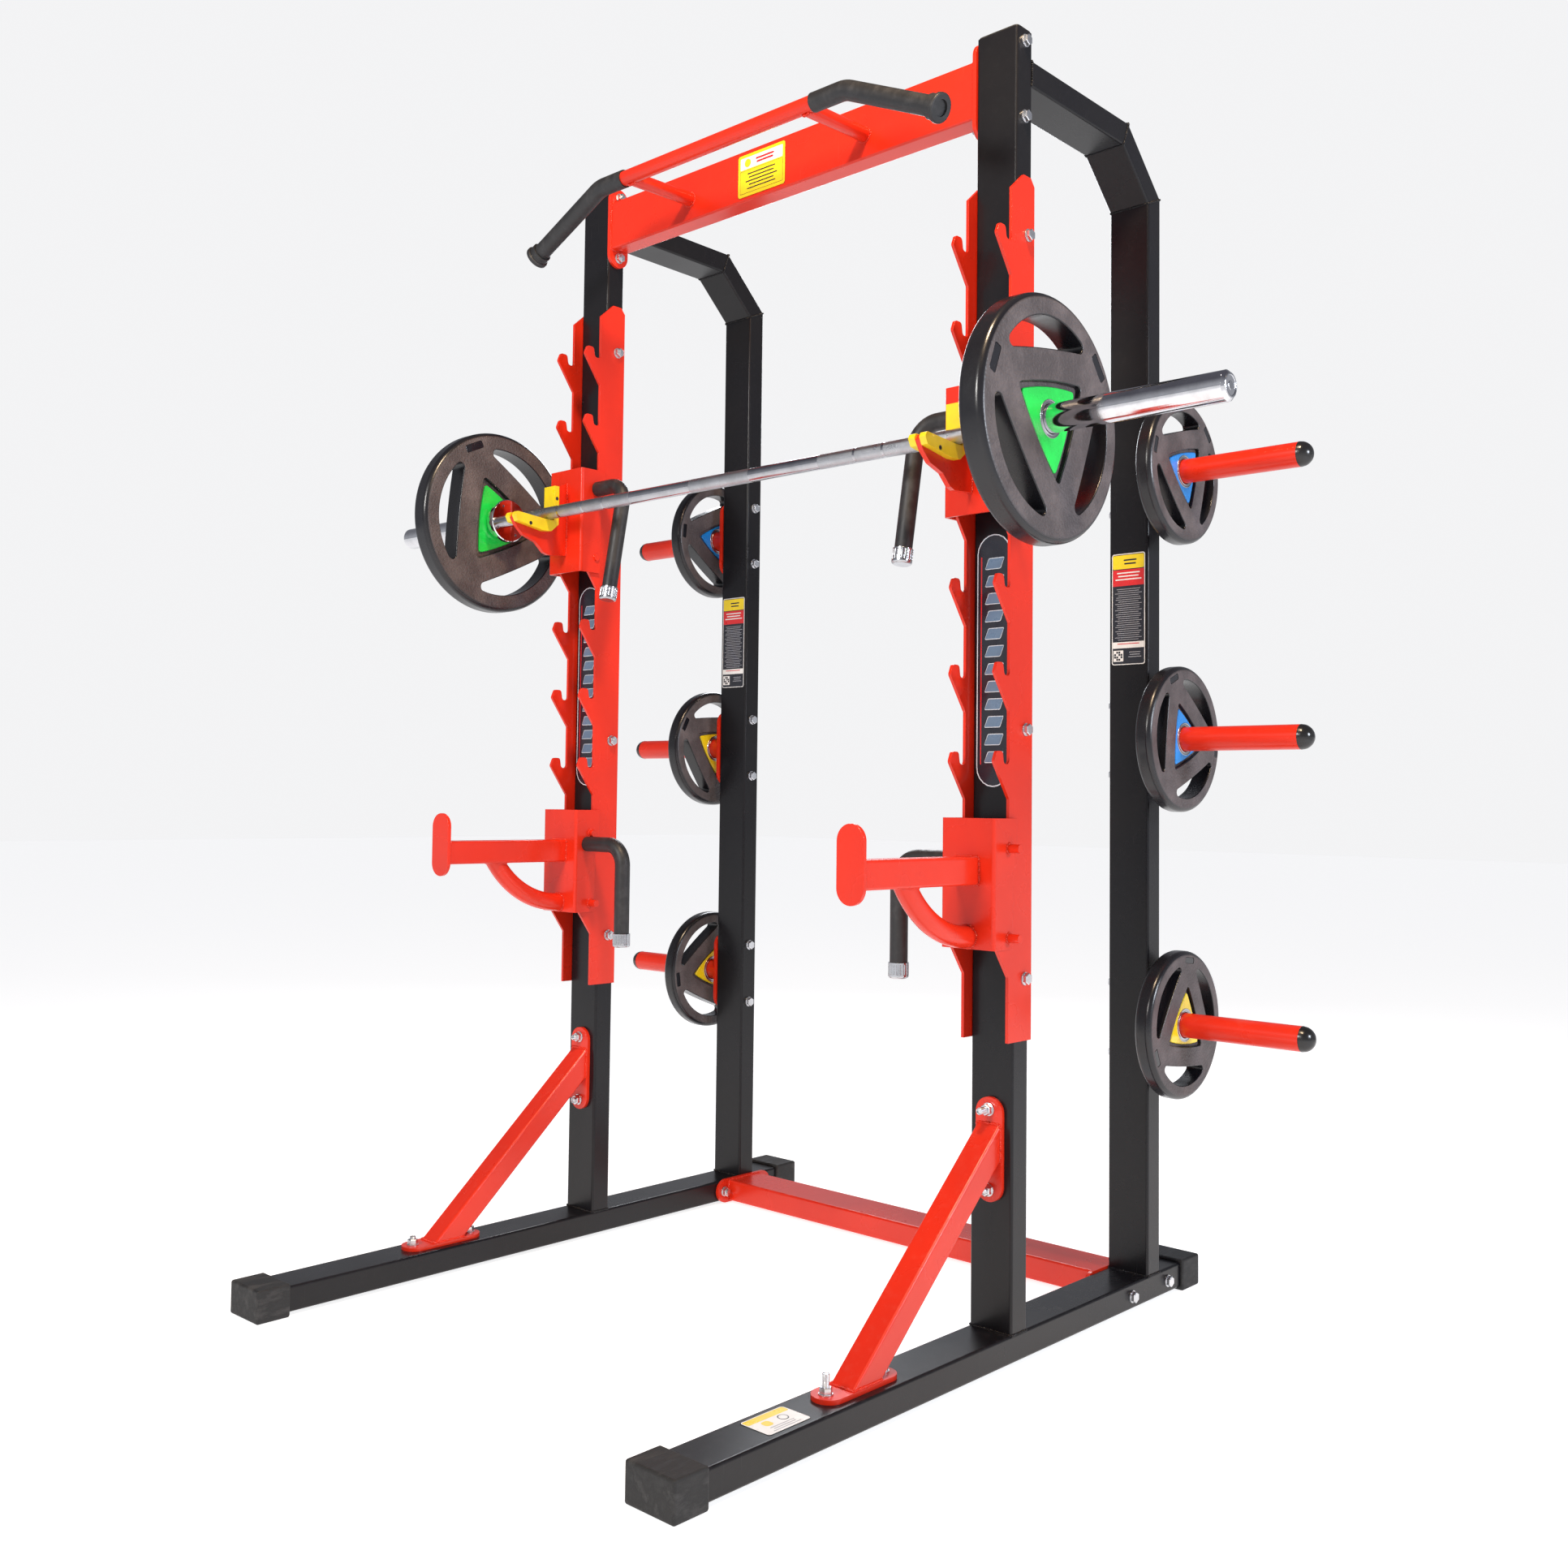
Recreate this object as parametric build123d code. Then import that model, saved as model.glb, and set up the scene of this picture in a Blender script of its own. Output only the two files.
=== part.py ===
"""Half rack with a loaded barbell: one STEP file for each named piece.

Millimetres, +Z up, floor at Z = 0. +X is the right side seen from the front, -Y is the front.
The origin is the middle of the footprint on the floor.
"""

import math
import os

from build123d import *

os.makedirs("parts", exist_ok=True)

# ---- frame tube -------------------------------------------------------------------------
tube_wide = 90.0  # across the rack
tube_deep = 50.0  # front to back
tube_wall = 3.0
tube_round = 5.0

# ---- side frames ------------------------------------------------------------------------
half_width = 614.0  # middle of the rack to the outer face of a side frame
front_y = 72.0  # front face of the front upright
rear_y = front_y + 490.0  # front face of the rear upright
base_half = 768.0  # half the footprint, front to back
rail_low = 7.0
rail_top = rail_low + tube_deep
front_top = 2451.0
arm_top = 2401.0
arm_bend_y = front_y + 408.0  # where the arm turns down
post_bend_z = 2281.0  # where the slope meets the rear upright
tube_mid = half_width - tube_wide / 2

# ---- rubber feet ------------------------------------------------------------------------
foot_side = 7.0
foot_length = 71.0
foot_height = 64.0
foot_round = 5.0

# ---- cross tubes and bolted flanges --------------------------------------------------------
flange_thick = 8.0
flange_wide = 57.0
flange_long = 188.0
flange_bolts = 144.0
beam_tall = 112.0
beam_deep = 50.0
beam_mid_z = 2357.0
cross_mid_y = front_y + 500.0

# ---- pull-up bar ------------------------------------------------------------------------
pull_y = front_y - 178.0
pull_z = 2348.0
pull_bend_x = 350.0
pull_end_x = 563.0
pull_end_z = 2248.0
pull_bend_r = 60.0
pull_tube = 16.0
grip_r = 19.0
grip_start_x = 270.0
strut_r = 15.0
strut_x = 250.0

# ---- notched plates -----------------------------------------------------------------------
notch_thick = 6.0
notch_count = 9
notch_pitch = 159.6
notch_tip_z = 2058.0  # tip of the highest hook
notch_edge_y = front_y - 24.0
notch_reach = 33.0  # hook tip beyond the plate's front edge
notch_bottom = 578.0
notch_top = 2170.0
notch_bolts_z = (2059.0, 1142.0, 690.0)
notch_bolt_y = front_y + 28.0
notch_drop = 23.0  # seat below the tip

# ---- carriages ----------------------------------------------------------------------------
rod_r = 8.0
rod_gap = 0.4
rod_out = 24.0  # rod beyond the bracket, outer side
rod_in = 22.0
carriage_thick = 5.0
carriage_play = 1.5
carriage_face = front_y - 79.5
carriage_half = tube_wide / 2 + notch_thick + carriage_play + carriage_thick
hook_low = 1529.0
hook_high = 1769.0
safe_low = 746.0
safe_high = 980.0
hook_rods = (2, 3)  # notches counted from the top
safe_rods = (7, 8)

# ---- bar hooks ----------------------------------------------------------------------------
bar_y = front_y - 142.0
bar_z = 1657.0
hook_plate = 10.0
liner_wide = 38.0
pad_thick = 13.0

# ---- handles ------------------------------------------------------------------------------
handle_core = 12.5
handle_r = 17.0
handle_bend = 46.0
hook_handle_out = 96.0
hook_handle_drop = 246.0
hook_handle_tilt = 10.0
safe_handle_out = 122.0
safe_handle_drop = 196.0
ring_r = 19.5
ring_long = 30.0

# ---- safety arms --------------------------------------------------------------------------
arm_size = 50.0
arm_mid_z = 886.0
arm_front = front_y - 402.0
arm_end_tall = 135.0
arm_end_wide = 58.0
arm_end_thick = 8.0
arm_end_mid_z = 903.0
prop_r = 20.0
prop_z = 768.0
prop_reach = 181.0
prop_rise = 93.0

# ---- front braces -------------------------------------------------------------------------
brace_size = 50.0
brace_top_z = 381.0
brace_base_y = front_y - 385.0
brace_angle = 41.5
brace_high_z = 428.0  # where its upper face meets the plate on the upright

# ---- storage pegs -------------------------------------------------------------------------
peg_r = 24.5
peg_wall = 3.0
peg_z = (1690.0, 1142.0, 566.0)
peg_y = rear_y + tube_deep / 2
peg_end = 925.0
ball_r = 24.8

# ---- barbell ------------------------------------------------------------------------------
shaft_r = 14.0
bar_half = 1100.0
collar_in = 698.0
collar_r = 50.0
sleeve_r = 25.0
sleeve_play = 0.05

# ---- weight plates ------------------------------------------------------------------------
bar_plate_r = 212.0
bar_plate_thick = 50.0
bar_plate_x = 733.5
store_plate_r = 148.0
store_plate_thick = 37.0
store_plate_x = 649.0
plate_hole = 25.6
bush_wall = 7.0
bush_gap = 0.05
pocket_floor = 0.6  # height of a pocket's floor, as a share of half the thickness
insert_thick = 4.5
plate_edge = 0.0125  # rounding of the grip windows, as a share of the radius
pad_deep = 2.0  # shallow recesses on two of the spokes

# ---- labels -------------------------------------------------------------------------------
strip_mid_z = 1270.0
panel_mid_z = 1414.0

# ---- fasteners ----------------------------------------------------------------------------
bolt_r = 6.0
hole_r = 6.5
hex_across = 19.0
head_thick = 8.0
nut_thick = 10.0
washer_r = 12.0
washer_thick = 2.5


def block(x0, x1, y0, y1, z0, z1):
    return Pos((x0 + x1) / 2, (y0 + y1) / 2, (z0 + z1) / 2) * Box(x1 - x0, y1 - y0, z1 - z0)


def rod(start, end, radius):
    a = Vector(*start)
    way = Vector(*end) - a
    return extrude(Plane(a, z_dir=way) * Circle(radius), way.length)


def tube_run(x, start, end, wide, deep, wall=tube_wall, bevel=tube_round):
    """A rectangular tube in a plane across X; start and end are (y, z)."""
    dy = end[0] - start[0]
    dz = end[1] - start[1]
    plane = Plane(Vector(x, start[0], start[1]), x_dir=Vector(1, 0, 0), z_dir=Vector(0, dy, dz))
    outer = RectangleRounded(wide, deep, bevel)
    inner = RectangleRounded(wide - 2 * wall, deep - 2 * wall, bevel - wall)
    return extrude(plane * (outer - inner), math.hypot(dy, dz))


def across(x0, x1, y, z, wide, tall, wall=tube_wall, bevel=tube_round):
    """A rectangular tube along X."""
    plane = Plane(Vector(x0, y, z), x_dir=Vector(0, 1, 0), z_dir=Vector(1, 0, 0))
    outer = RectangleRounded(wide, tall, bevel)
    inner = RectangleRounded(wide - 2 * wall, tall - 2 * wall, bevel - wall)
    return extrude(plane * (outer - inner), x1 - x0)


def side_profile(points):
    """A face in the YZ plane from (y, z) corners."""
    plane = Plane(Vector(0, 0, 0), x_dir=Vector(0, 1, 0), z_dir=Vector(1, 0, 0))
    return plane * make_face(Polyline(*points, close=True))


def slab(points, x0, x1):
    return Pos(x0, 0, 0) * extrude(side_profile(points), x1 - x0)


def below(solid, origin, normal):
    """The part of a solid behind a plane."""
    return split(solid, bisect_by=Plane(Vector(*origin), z_dir=Vector(*normal)), keep=Keep.BOTTOM)


def above(solid, origin, normal):
    return split(solid, bisect_by=Plane(Vector(*origin), z_dir=Vector(*normal)), keep=Keep.TOP)


def both_sides(make):
    solids = []
    for side in (-1, 1):
        solids.append(make(side))
    return solids


def save(solids, node):
    flat = []
    for item in solids:
        flat.extend(item.solids())
    if len(flat) == 1:
        export_step(flat[0], f"parts/{node}.step")
    else:
        export_step(Compound(flat), f"parts/{node}.step")
    print(node, len(flat))


def cross_holes(solid, places, x0, x1, radius=hole_r):
    """Holes along X through every (y, z)."""
    for y, z in places:
        solid -= rod((x0, y, z), (x1, y, z), radius)
    return solid


# ---- bolt places ----------------------------------------------------------------------------
half_bolts = flange_bolts / 2
beam_bolts = [(front_y + 25, beam_mid_z - half_bolts), (front_y + 25, beam_mid_z + half_bolts)]
cross_bolts = [(cross_mid_y - half_bolts, 32.0), (cross_mid_y + half_bolts, 32.0)]
notch_bolts = [(notch_bolt_y, z) for z in notch_bolts_z]
peg_bolts = []
for level in peg_z:
    peg_bolts.append((peg_y, level - half_bolts))
    peg_bolts.append((peg_y, level + half_bolts))
brace_top_bolts = [brace_top_z - half_bolts, brace_top_z + half_bolts]
brace_base_bolts = [brace_base_y - half_bolts, brace_base_y + half_bolts]


# ---- side frames ------------------------------------------------------------------------
def base_rail(side):
    x = side * tube_mid
    inset = 5.0
    mid = rail_low + tube_deep / 2
    rail = tube_run(x, (-base_half + inset, mid), (base_half - inset, mid), tube_wide, tube_deep)
    rail = cross_holes(rail, cross_bolts, x - 60, x + 60)
    for y in brace_base_bolts:
        rail -= rod((x, y, rail_top - 20), (x, y, rail_top + 5), hole_r)
    return rail


def front_upright(side):
    x = side * tube_mid
    post = tube_run(x, (front_y + 25, rail_top), (front_y + 25, front_top), tube_wide, tube_deep)
    post = cross_holes(post, beam_bolts + notch_bolts, x - 60, x + 60)
    for z in brace_top_bolts:
        post -= rod((x, front_y - 5, z), (x, front_y + 20, z), hole_r)
    return post


slope = Vector(0, rear_y + tube_deep - arm_bend_y, post_bend_z - arm_top).normalized()
bend_a = (Vector(0, 1, 0) + slope).normalized()
bend_b = (slope + Vector(0, 0, -1)).normalized()
corner_a = (0, arm_bend_y, arm_top)
corner_b = (0, rear_y + tube_deep, post_bend_z)


def top_arm(side):
    x = side * tube_mid
    z = arm_top - 25
    arm = tube_run(x, (front_y + tube_deep, z), (arm_bend_y + 80, z), tube_wide, tube_deep)
    return below(arm, corner_a, tuple(bend_a))


def corner_slope(side):
    x = side * tube_mid
    inward = Vector(0, slope.Z, -slope.Y)
    a = Vector(*corner_a) + inward * 25 - slope * 80
    b = Vector(*corner_b) + inward * 25 + slope * 80
    run = tube_run(x, (a.Y, a.Z), (b.Y, b.Z), tube_wide, tube_deep)
    run = above(run, corner_a, tuple(bend_a))
    return below(run, corner_b, tuple(bend_b))


def rear_upright(side):
    x = side * tube_mid
    post = tube_run(x, (peg_y, rail_top), (peg_y, post_bend_z + 80), tube_wide, tube_deep)
    post = above(post, corner_b, tuple(bend_b))
    return cross_holes(post, peg_bolts, x - 60, x + 60)


def foot(side, end):
    x = side * tube_mid
    half = tube_wide / 2 + foot_side
    y0 = -base_half if end < 0 else base_half - foot_length
    body = block(x - half, x + half, y0, y0 + foot_length, 0, foot_height)
    body = fillet(body.edges(), foot_round)
    gap = 0.3
    sock = RectangleRounded(tube_wide + 2 * gap, tube_deep + 2 * gap, tube_round + gap)
    mouth = y0 + foot_length + 1 if end < 0 else y0 - 1
    plane = Plane(Vector(x, mouth, rail_low + 25), x_dir=Vector(1, 0, 0), z_dir=Vector(0, end, 0))
    return body - extrude(plane * sock, foot_length - 5 + 1)


# ---- cross tubes ------------------------------------------------------------------------
def flange_face():
    """An obround with two holes, long along its plane's x."""
    face = SlotOverall(flange_long, flange_wide)
    for step in (-half_bolts, half_bolts):
        face -= Pos(step, 0) * Circle(hole_r)
    return face


def side_flange(side, y, z, x, upright):
    """A flange whose back lies on x, growing towards the middle of the rack."""
    x_dir = Vector(0, 0, 1) if upright else Vector(0, 1, 0)
    plane = Plane(Vector(x, y, z), x_dir=x_dir, z_dir=Vector(-side, 0, 0))
    return extrude(plane * flange_face(), flange_thick)


inner_x = half_width - tube_wide
beam_end = inner_x - flange_thick


def beam():
    return across(-beam_end, beam_end, front_y + 25, beam_mid_z, beam_deep, beam_tall)


def crossmember():
    return across(-beam_end, beam_end, cross_mid_y, 32.0, beam_tall, beam_deep)


# ---- pull-up bar ------------------------------------------------------------------------
def swept(path, radius, inner=0.0):
    """A round bar along a path, or a tube when it has an inner radius."""
    plane = Plane(path @ 0, z_dir=path % 0)
    ring = Circle(radius)
    if inner:
        ring -= Circle(inner)
    return sweep(plane * ring, path=path)


def pull_bar():
    low_l = Vector(-pull_end_x, pull_y, pull_end_z)
    low_r = Vector(pull_end_x, pull_y, pull_end_z)
    bend_l = Vector(-pull_bend_x, pull_y, pull_z)
    bend_r = Vector(pull_bend_x, pull_y, pull_z)
    path = FilletPolyline(low_l, bend_l, bend_r, low_r, radius=pull_bend_r)
    return swept(path, pull_tube, pull_tube - 2.5)


def pull_strut(side):
    """A round stay from the bar back to the beam, coped around the bar."""
    x = side * strut_x
    run = rod((x, pull_y, pull_z - 4), (x, front_y + 20, beam_mid_z - 7), strut_r)
    run -= rod((x - 60, pull_y, pull_z), (x + 60, pull_y, pull_z), pull_tube)
    return below(run.solids().sort_by(Axis.Y)[-1], (x, front_y, pull_z), (0, 1, 0))


def pull_grip(side):
    start = Vector(side * grip_start_x, pull_y, pull_z)
    bend = Vector(side * pull_bend_x, pull_y, pull_z)
    low = Vector(side * pull_end_x, pull_y, pull_end_z)
    return swept(FilletPolyline(start, bend, low, radius=pull_bend_r), grip_r, pull_tube + 0.3)


def grip_cap(side):
    low = Vector(side * pull_end_x, pull_y, pull_end_z)
    way = (low - Vector(side * pull_bend_x, pull_y, pull_z)).normalized()
    plane = Plane(low + way * 0.3, z_dir=way)
    disc = extrude(plane * Circle(27), 10)
    disc = fillet(disc.edges(), 3)
    back = Plane(low - way * 14, z_dir=way)
    sleeve = extrude(back * (Circle(23) - Circle(grip_r + 0.3)), 15)
    dish = Plane(low + way * 6, z_dir=way)
    return disc + sleeve - extrude(dish * Circle(15), 10)


# ---- notched plates -----------------------------------------------------------------------
def notched_outline():
    e = notch_edge_y
    back = front_y + tube_deep
    tip = e - notch_reach
    points = [(back, notch_bottom), (back, notch_top - 14), (back - 12, notch_top), (e + 38, notch_top)]
    points.append((e, notch_top - 34))
    for k in range(notch_count):
        z = notch_tip_z - k * notch_pitch
        points.append((e, z - notch_drop))
        points.append((e - 17, z - notch_drop))
        points.append((tip + 12, z))
        points.append((tip - 7, z))
        points.append((tip - 15, z - 19))
        points.append((e, z - 86))
    points.append((e, notch_bottom))
    return points


def notched_plate(x):
    """One saw-toothed plate with its low X face on x."""
    face = side_profile(notched_outline())
    soft = []
    for corner in face.vertices():
        near_tip = corner.Y < notch_edge_y - 10
        near_seat = abs(corner.Y - notch_edge_y) < 0.1 and (notch_tip_z - corner.Z) % notch_pitch < 40
        if near_tip or (near_seat and notch_top - 40 > corner.Z > notch_bottom + 5):
            soft.append(corner)
    face = fillet(soft, 7.0)
    plate = Pos(x, 0, 0) * extrude(face, notch_thick)
    return cross_holes(plate, notch_bolts, x - 5, x + notch_thick + 5)


seat_y = notch_edge_y - rod_r - rod_gap


def rod_z(hook):
    """Height of a rod resting in a hook, the top hook being 0."""
    return notch_tip_z - hook * notch_pitch - notch_drop + rod_r + rod_gap


# ---- carriages ----------------------------------------------------------------------------
def bracket(side, low, high):
    """A folded channel around the notched plates, open to the back."""
    x = side * tube_mid
    t = carriage_thick
    ear = front_y - 8
    waist = front_y - 20
    outline = [(carriage_face, low), (waist, low), (waist, high - 92), (ear, high - 80)]
    outline += [(ear, high), (carriage_face, high)]
    body = slab(outline, x - carriage_half, x + carriage_half)
    body = fillet(body.edges().filter_by(Axis.Z).sort_by(Axis.Y)[:2], 6)
    inner_half = carriage_half - t
    return body - block(x - inner_half, x + inner_half, carriage_face + t, front_y + 40, low - 1, high + 1)


def carriage(side, low, high, hooks, inner_stick):
    """A bracket with the two rods that drop into the notches, welded through its walls."""
    x = side * tube_mid
    welded = bracket(side, low, high)
    for hook, stick in zip(hooks, inner_stick):
        z = rod_z(hook)
        outer = x + side * (carriage_half + rod_out)
        inner = x - side * (carriage_half + stick)
        welded += rod((inner, seat_y, z), (outer, seat_y, z), rod_r)
    return welded.solids().sort_by(SortBy.VOLUME)[-1]


def hook_solid(side):
    x = side * tube_mid
    low = hook_low + 39
    c = carriage_face
    tip = bar_y - 92
    rest = bar_z - shaft_r - 2
    points = [(c, low), (c - 53, low - 4), (c - 66, low), (c - 89, low + 21), (c - 126, low + 33)]
    points += [(c - 147, low + 52), (tip - 3, rest - 4), (tip + 4, rest + 6)]
    behind = bar_y + shaft_r + pad_thick + 0.5
    points += [(bar_y - 8, rest), (behind, rest), (behind, bar_z + 66), (c, bar_z + 80)]
    return slab(points, x - hook_plate / 2, x + hook_plate / 2)


def hook_liner(side):
    """Two cheeks and a back pad that the bar sits in."""
    x = side * tube_mid
    half = liner_wide / 2
    core = hook_plate / 2
    back = bar_y + shaft_r + 0.4
    tip = bar_y - 92
    rest = bar_z - shaft_r - 0.4
    outline = [(tip, rest + 7), (bar_y - 10, rest), (back, rest), (back, bar_z + 66)]
    outline += [(back + pad_thick, bar_z + 66), (back + pad_thick, rest - 8), (back - 8, rest - 26)]
    outline += [(bar_y - 16, rest - 27), (tip + 2, rest - 15), (tip - 5, rest - 2)]
    face = side_profile(outline)
    soft = []
    for corner in face.vertices():
        if corner.Z < rest + 8 and not (corner.Y > back - 3 and corner.Z > rest - 1):
            soft.append(corner)
    face = fillet(soft, 4.0)
    whole = Pos(x - half, 0, 0) * extrude(face, liner_wide)
    slot = block(x - core, x + core, tip - 20, back + 0.1, rest - 40, rest + 20)
    slot += block(x - core, x + core, back, back + pad_thick + 1, rest - 40, rest - 1.5)
    return whole - slot


def tilt(solid, y, z, angle):
    return solid.rotate(Axis((0, y, z), (1, 0, 0)), angle)


def handle_parts(side, out, drop, y, z, angle):
    """Rubber sleeve, steel core and ribbed end of one handle."""
    x0 = side * (tube_mid - carriage_half)
    turn = side * (tube_mid - carriage_half - out)
    start = x0 - side * 1.0
    bend = Vector(turn, y, z)
    grip_path = FilletPolyline(Vector(start, y, z), bend, Vector(turn, y, z - drop), radius=handle_bend)
    core_path = FilletPolyline(Vector(x0, y, z), bend, Vector(turn, y, z - drop - 6), radius=handle_bend)
    grip = swept(grip_path, handle_r, handle_core + 0.3)
    core = swept(core_path, handle_core, handle_core - 2.5)
    floor = z - drop - 0.4
    knob = rod((turn, y, floor), (turn, y, floor - ring_long), ring_r)
    knob = fillet(knob.edges().sort_by(Axis.Z)[0], 5)
    knob -= rod((turn, y, floor + 1), (turn, y, floor - 8), handle_core + 0.3)
    for k in range(18):
        turned = math.radians(k * 20)
        gx = turn + (ring_r + 0.6) * math.cos(turned)
        gy = y + (ring_r + 0.6) * math.sin(turned)
        knob -= rod((gx, gy, floor - 3), (gx, gy, floor - ring_long + 8), 1.8)
    return [tilt(item, y, z, angle) for item in (grip, core, knob)]


def hook_set(side):
    """The tube is welded over the upper rod's inner end."""
    height = rod_z(hook_rods[0])
    return handle_parts(side, hook_handle_out, hook_handle_drop, seat_y, height, -hook_handle_tilt)


def safe_set(side):
    return handle_parts(side, safe_handle_out, safe_handle_drop, front_y - 45, 902.0, 0)


# ---- safety arms --------------------------------------------------------------------------
def safety_arm(side):
    return tube_run(side * tube_mid, (arm_front, arm_mid_z), (carriage_face, arm_mid_z), arm_size, arm_size)


def safety_prop(side):
    x = side * tube_mid
    angle = 2 * math.atan(prop_rise / prop_reach)
    radius = prop_reach / math.sin(angle)
    centre = (carriage_face, prop_z + radius)
    points = []
    for part in (0.0, 0.5, 1.0):
        turn = angle * part
        points.append(Vector(x, centre[0] - radius * math.sin(turn), centre[1] - radius * math.cos(turn)))
    arc = ThreePointArc(*points)
    far = arc @ 1
    way = arc % 1
    path = arc + Line(far, far + way * 40)
    prop = swept(Wire(path.edges()), prop_r, prop_r - 3)
    keep = block(x - 60, x + 60, arm_front - 10, carriage_face, prop_z - 60, arm_mid_z - arm_size / 2)
    return (prop & keep).solids().sort_by(SortBy.VOLUME)[-1]


def arm_end(side):
    x = side * tube_mid
    plane = Plane(Vector(x, arm_front, arm_end_mid_z), x_dir=Vector(0, 0, 1), z_dir=Vector(0, -1, 0))
    plate = extrude(plane * SlotOverall(arm_end_tall, arm_end_wide), arm_end_thick)
    return fillet(plate.edges(), 1.0)


# ---- front braces -------------------------------------------------------------------------
def brace(side):
    x = side * tube_mid
    a = math.radians(brace_angle)
    way = (math.cos(a), math.sin(a))
    y0 = front_y - flange_thick
    mid = brace_high_z - brace_size / 2 / math.cos(a)
    far = 900.0
    start = (y0 + 120 * way[0] - far * way[0], mid + 120 * way[1] - far * way[1])
    end = (y0 + 120 * way[0], mid + 120 * way[1])
    run = tube_run(x, start, end, brace_size, brace_size)
    keep = block(x - 60, x + 60, front_y - 900, y0, rail_top + flange_thick, 900)
    return (run & keep).solids().sort_by(SortBy.VOLUME)[-1]


def brace_plates(side):
    x = side * tube_mid
    plane = Plane(Vector(x, front_y, brace_top_z), x_dir=Vector(0, 0, 1), z_dir=Vector(0, -1, 0))
    top = extrude(plane * flange_face(), flange_thick)
    plane = Plane(Vector(x, brace_base_y, rail_top), x_dir=Vector(0, 1, 0), z_dir=Vector(0, 0, 1))
    base = extrude(plane * flange_face(), flange_thick)
    return [top, base]


# ---- storage pegs -------------------------------------------------------------------------
def peg_flange(side, z):
    plane = Plane(Vector(side * half_width, peg_y, z), x_dir=Vector(0, 0, 1), z_dir=Vector(side, 0, 0))
    return extrude(plane * flange_face(), flange_thick)


def peg(side, z):
    start = side * (half_width + flange_thick)
    end = side * peg_end
    plane = Plane(Vector(start, peg_y, z), z_dir=Vector(side, 0, 0))
    return extrude(plane * (Circle(peg_r) - Circle(peg_r - peg_wall)), abs(end - start))


def peg_cap(side, z):
    """A ball-fronted plastic plug in a peg's open end."""
    neck = peg_r - peg_wall - 0.3
    lip = peg_end + 0.2
    flat = 2.0  # the dome ends in a small flat
    front = lip + math.sqrt(ball_r**2 - flat**2)
    back = lip - 16
    outline = Polyline((front, flat), (front, 0), (back, 0), (back, neck), (lip, neck), (lip, ball_r))
    dome = ThreePointArc((lip, ball_r), (lip + ball_r * 0.707, ball_r * 0.707), (front, flat))
    cap = revolve(make_face(outline.edges() + dome.edges()), Axis.X)
    if side < 0:
        cap = mirror(cap, Plane.YZ)
    return Pos(0, peg_y, z) * cap


# ---- barbell ------------------------------------------------------------------------------
def bar_shaft():
    shaft = rod((-bar_half + 6, bar_y, bar_z), (bar_half - 6, bar_y, bar_z), shaft_r)
    return chamfer(shaft.edges(), 1.0)


def sleeve(side):
    """A spinning sleeve with its collar disc, bored for the shaft."""
    profile = [(collar_in, 0), (collar_in, collar_r - 2)]
    profile += [(collar_in + 2, collar_r), (collar_in + 11, collar_r)]
    profile += [(collar_in + 13, collar_r - 2), (collar_in + 13, 42), (collar_in + 24, 42)]
    profile += [(collar_in + 27, 39), (collar_in + 35, 39), (collar_in + 35, sleeve_r)]
    profile += [(bar_half - 5, sleeve_r), (bar_half, sleeve_r - 5), (bar_half, 0)]
    face = make_face(Polyline(*[(a, r) for a, r in profile], close=True))
    solid = revolve(face, Axis.X)
    if side < 0:
        solid = mirror(solid, Plane.YZ)
    solid = Pos(0, bar_y, bar_z) * solid
    bore_end = bar_half - 5.5
    solid -= rod((side * (collar_in - 1), bar_y, bar_z), (side * bore_end, bar_y, bar_z), shaft_r + sleeve_play)
    for k in range(4):
        turned = math.radians(k * 90 + 30)
        y = bar_y + 37 * math.cos(turned)
        z = bar_z + 37 * math.sin(turned)
        solid -= rod((side * (collar_in - 1), y, z), (side * (collar_in + 9), y, z), 3)
    for k in range(12):
        turned = math.radians(k * 30)
        y = bar_y + 44 * math.cos(turned)
        z = bar_z + 44 * math.sin(turned)
        solid -= rod((side * (collar_in + 13.5), y, z), (side * (collar_in + 30), y, z), 5)
    return solid


# ---- weight plates ------------------------------------------------------------------------
def curved_triangle(size, bulge):
    """A face with three outward-curved sides; corners at `size` from the middle, one along +X."""
    corners = []
    for k in range(3):
        turned = math.radians(120 * k)
        corners.append((size * math.cos(turned), size * math.sin(turned)))
    edges = []
    for k in range(3):
        a = corners[k]
        b = corners[(k + 1) % 3]
        turned = math.radians(120 * k + 60)
        mid = (size / 2 + bulge)
        edges.append(ThreePointArc(a, (mid * math.cos(turned), mid * math.sin(turned)), b))
    return make_face(edges)


def plate_windows(radius):
    """Three grip windows between the rim and the curved triangle, corners rounded."""
    ring = Circle(radius * 0.815) - curved_triangle(radius * 1.02, radius * 0.045)
    return fillet(ring.vertices(), radius * 0.05)


def through(sketch, thick):
    """A cutter that runs right through a plate lying on the XY plane."""
    return Pos(0, 0, -thick / 2 - 1) * extrude(sketch, thick + 2)


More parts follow.
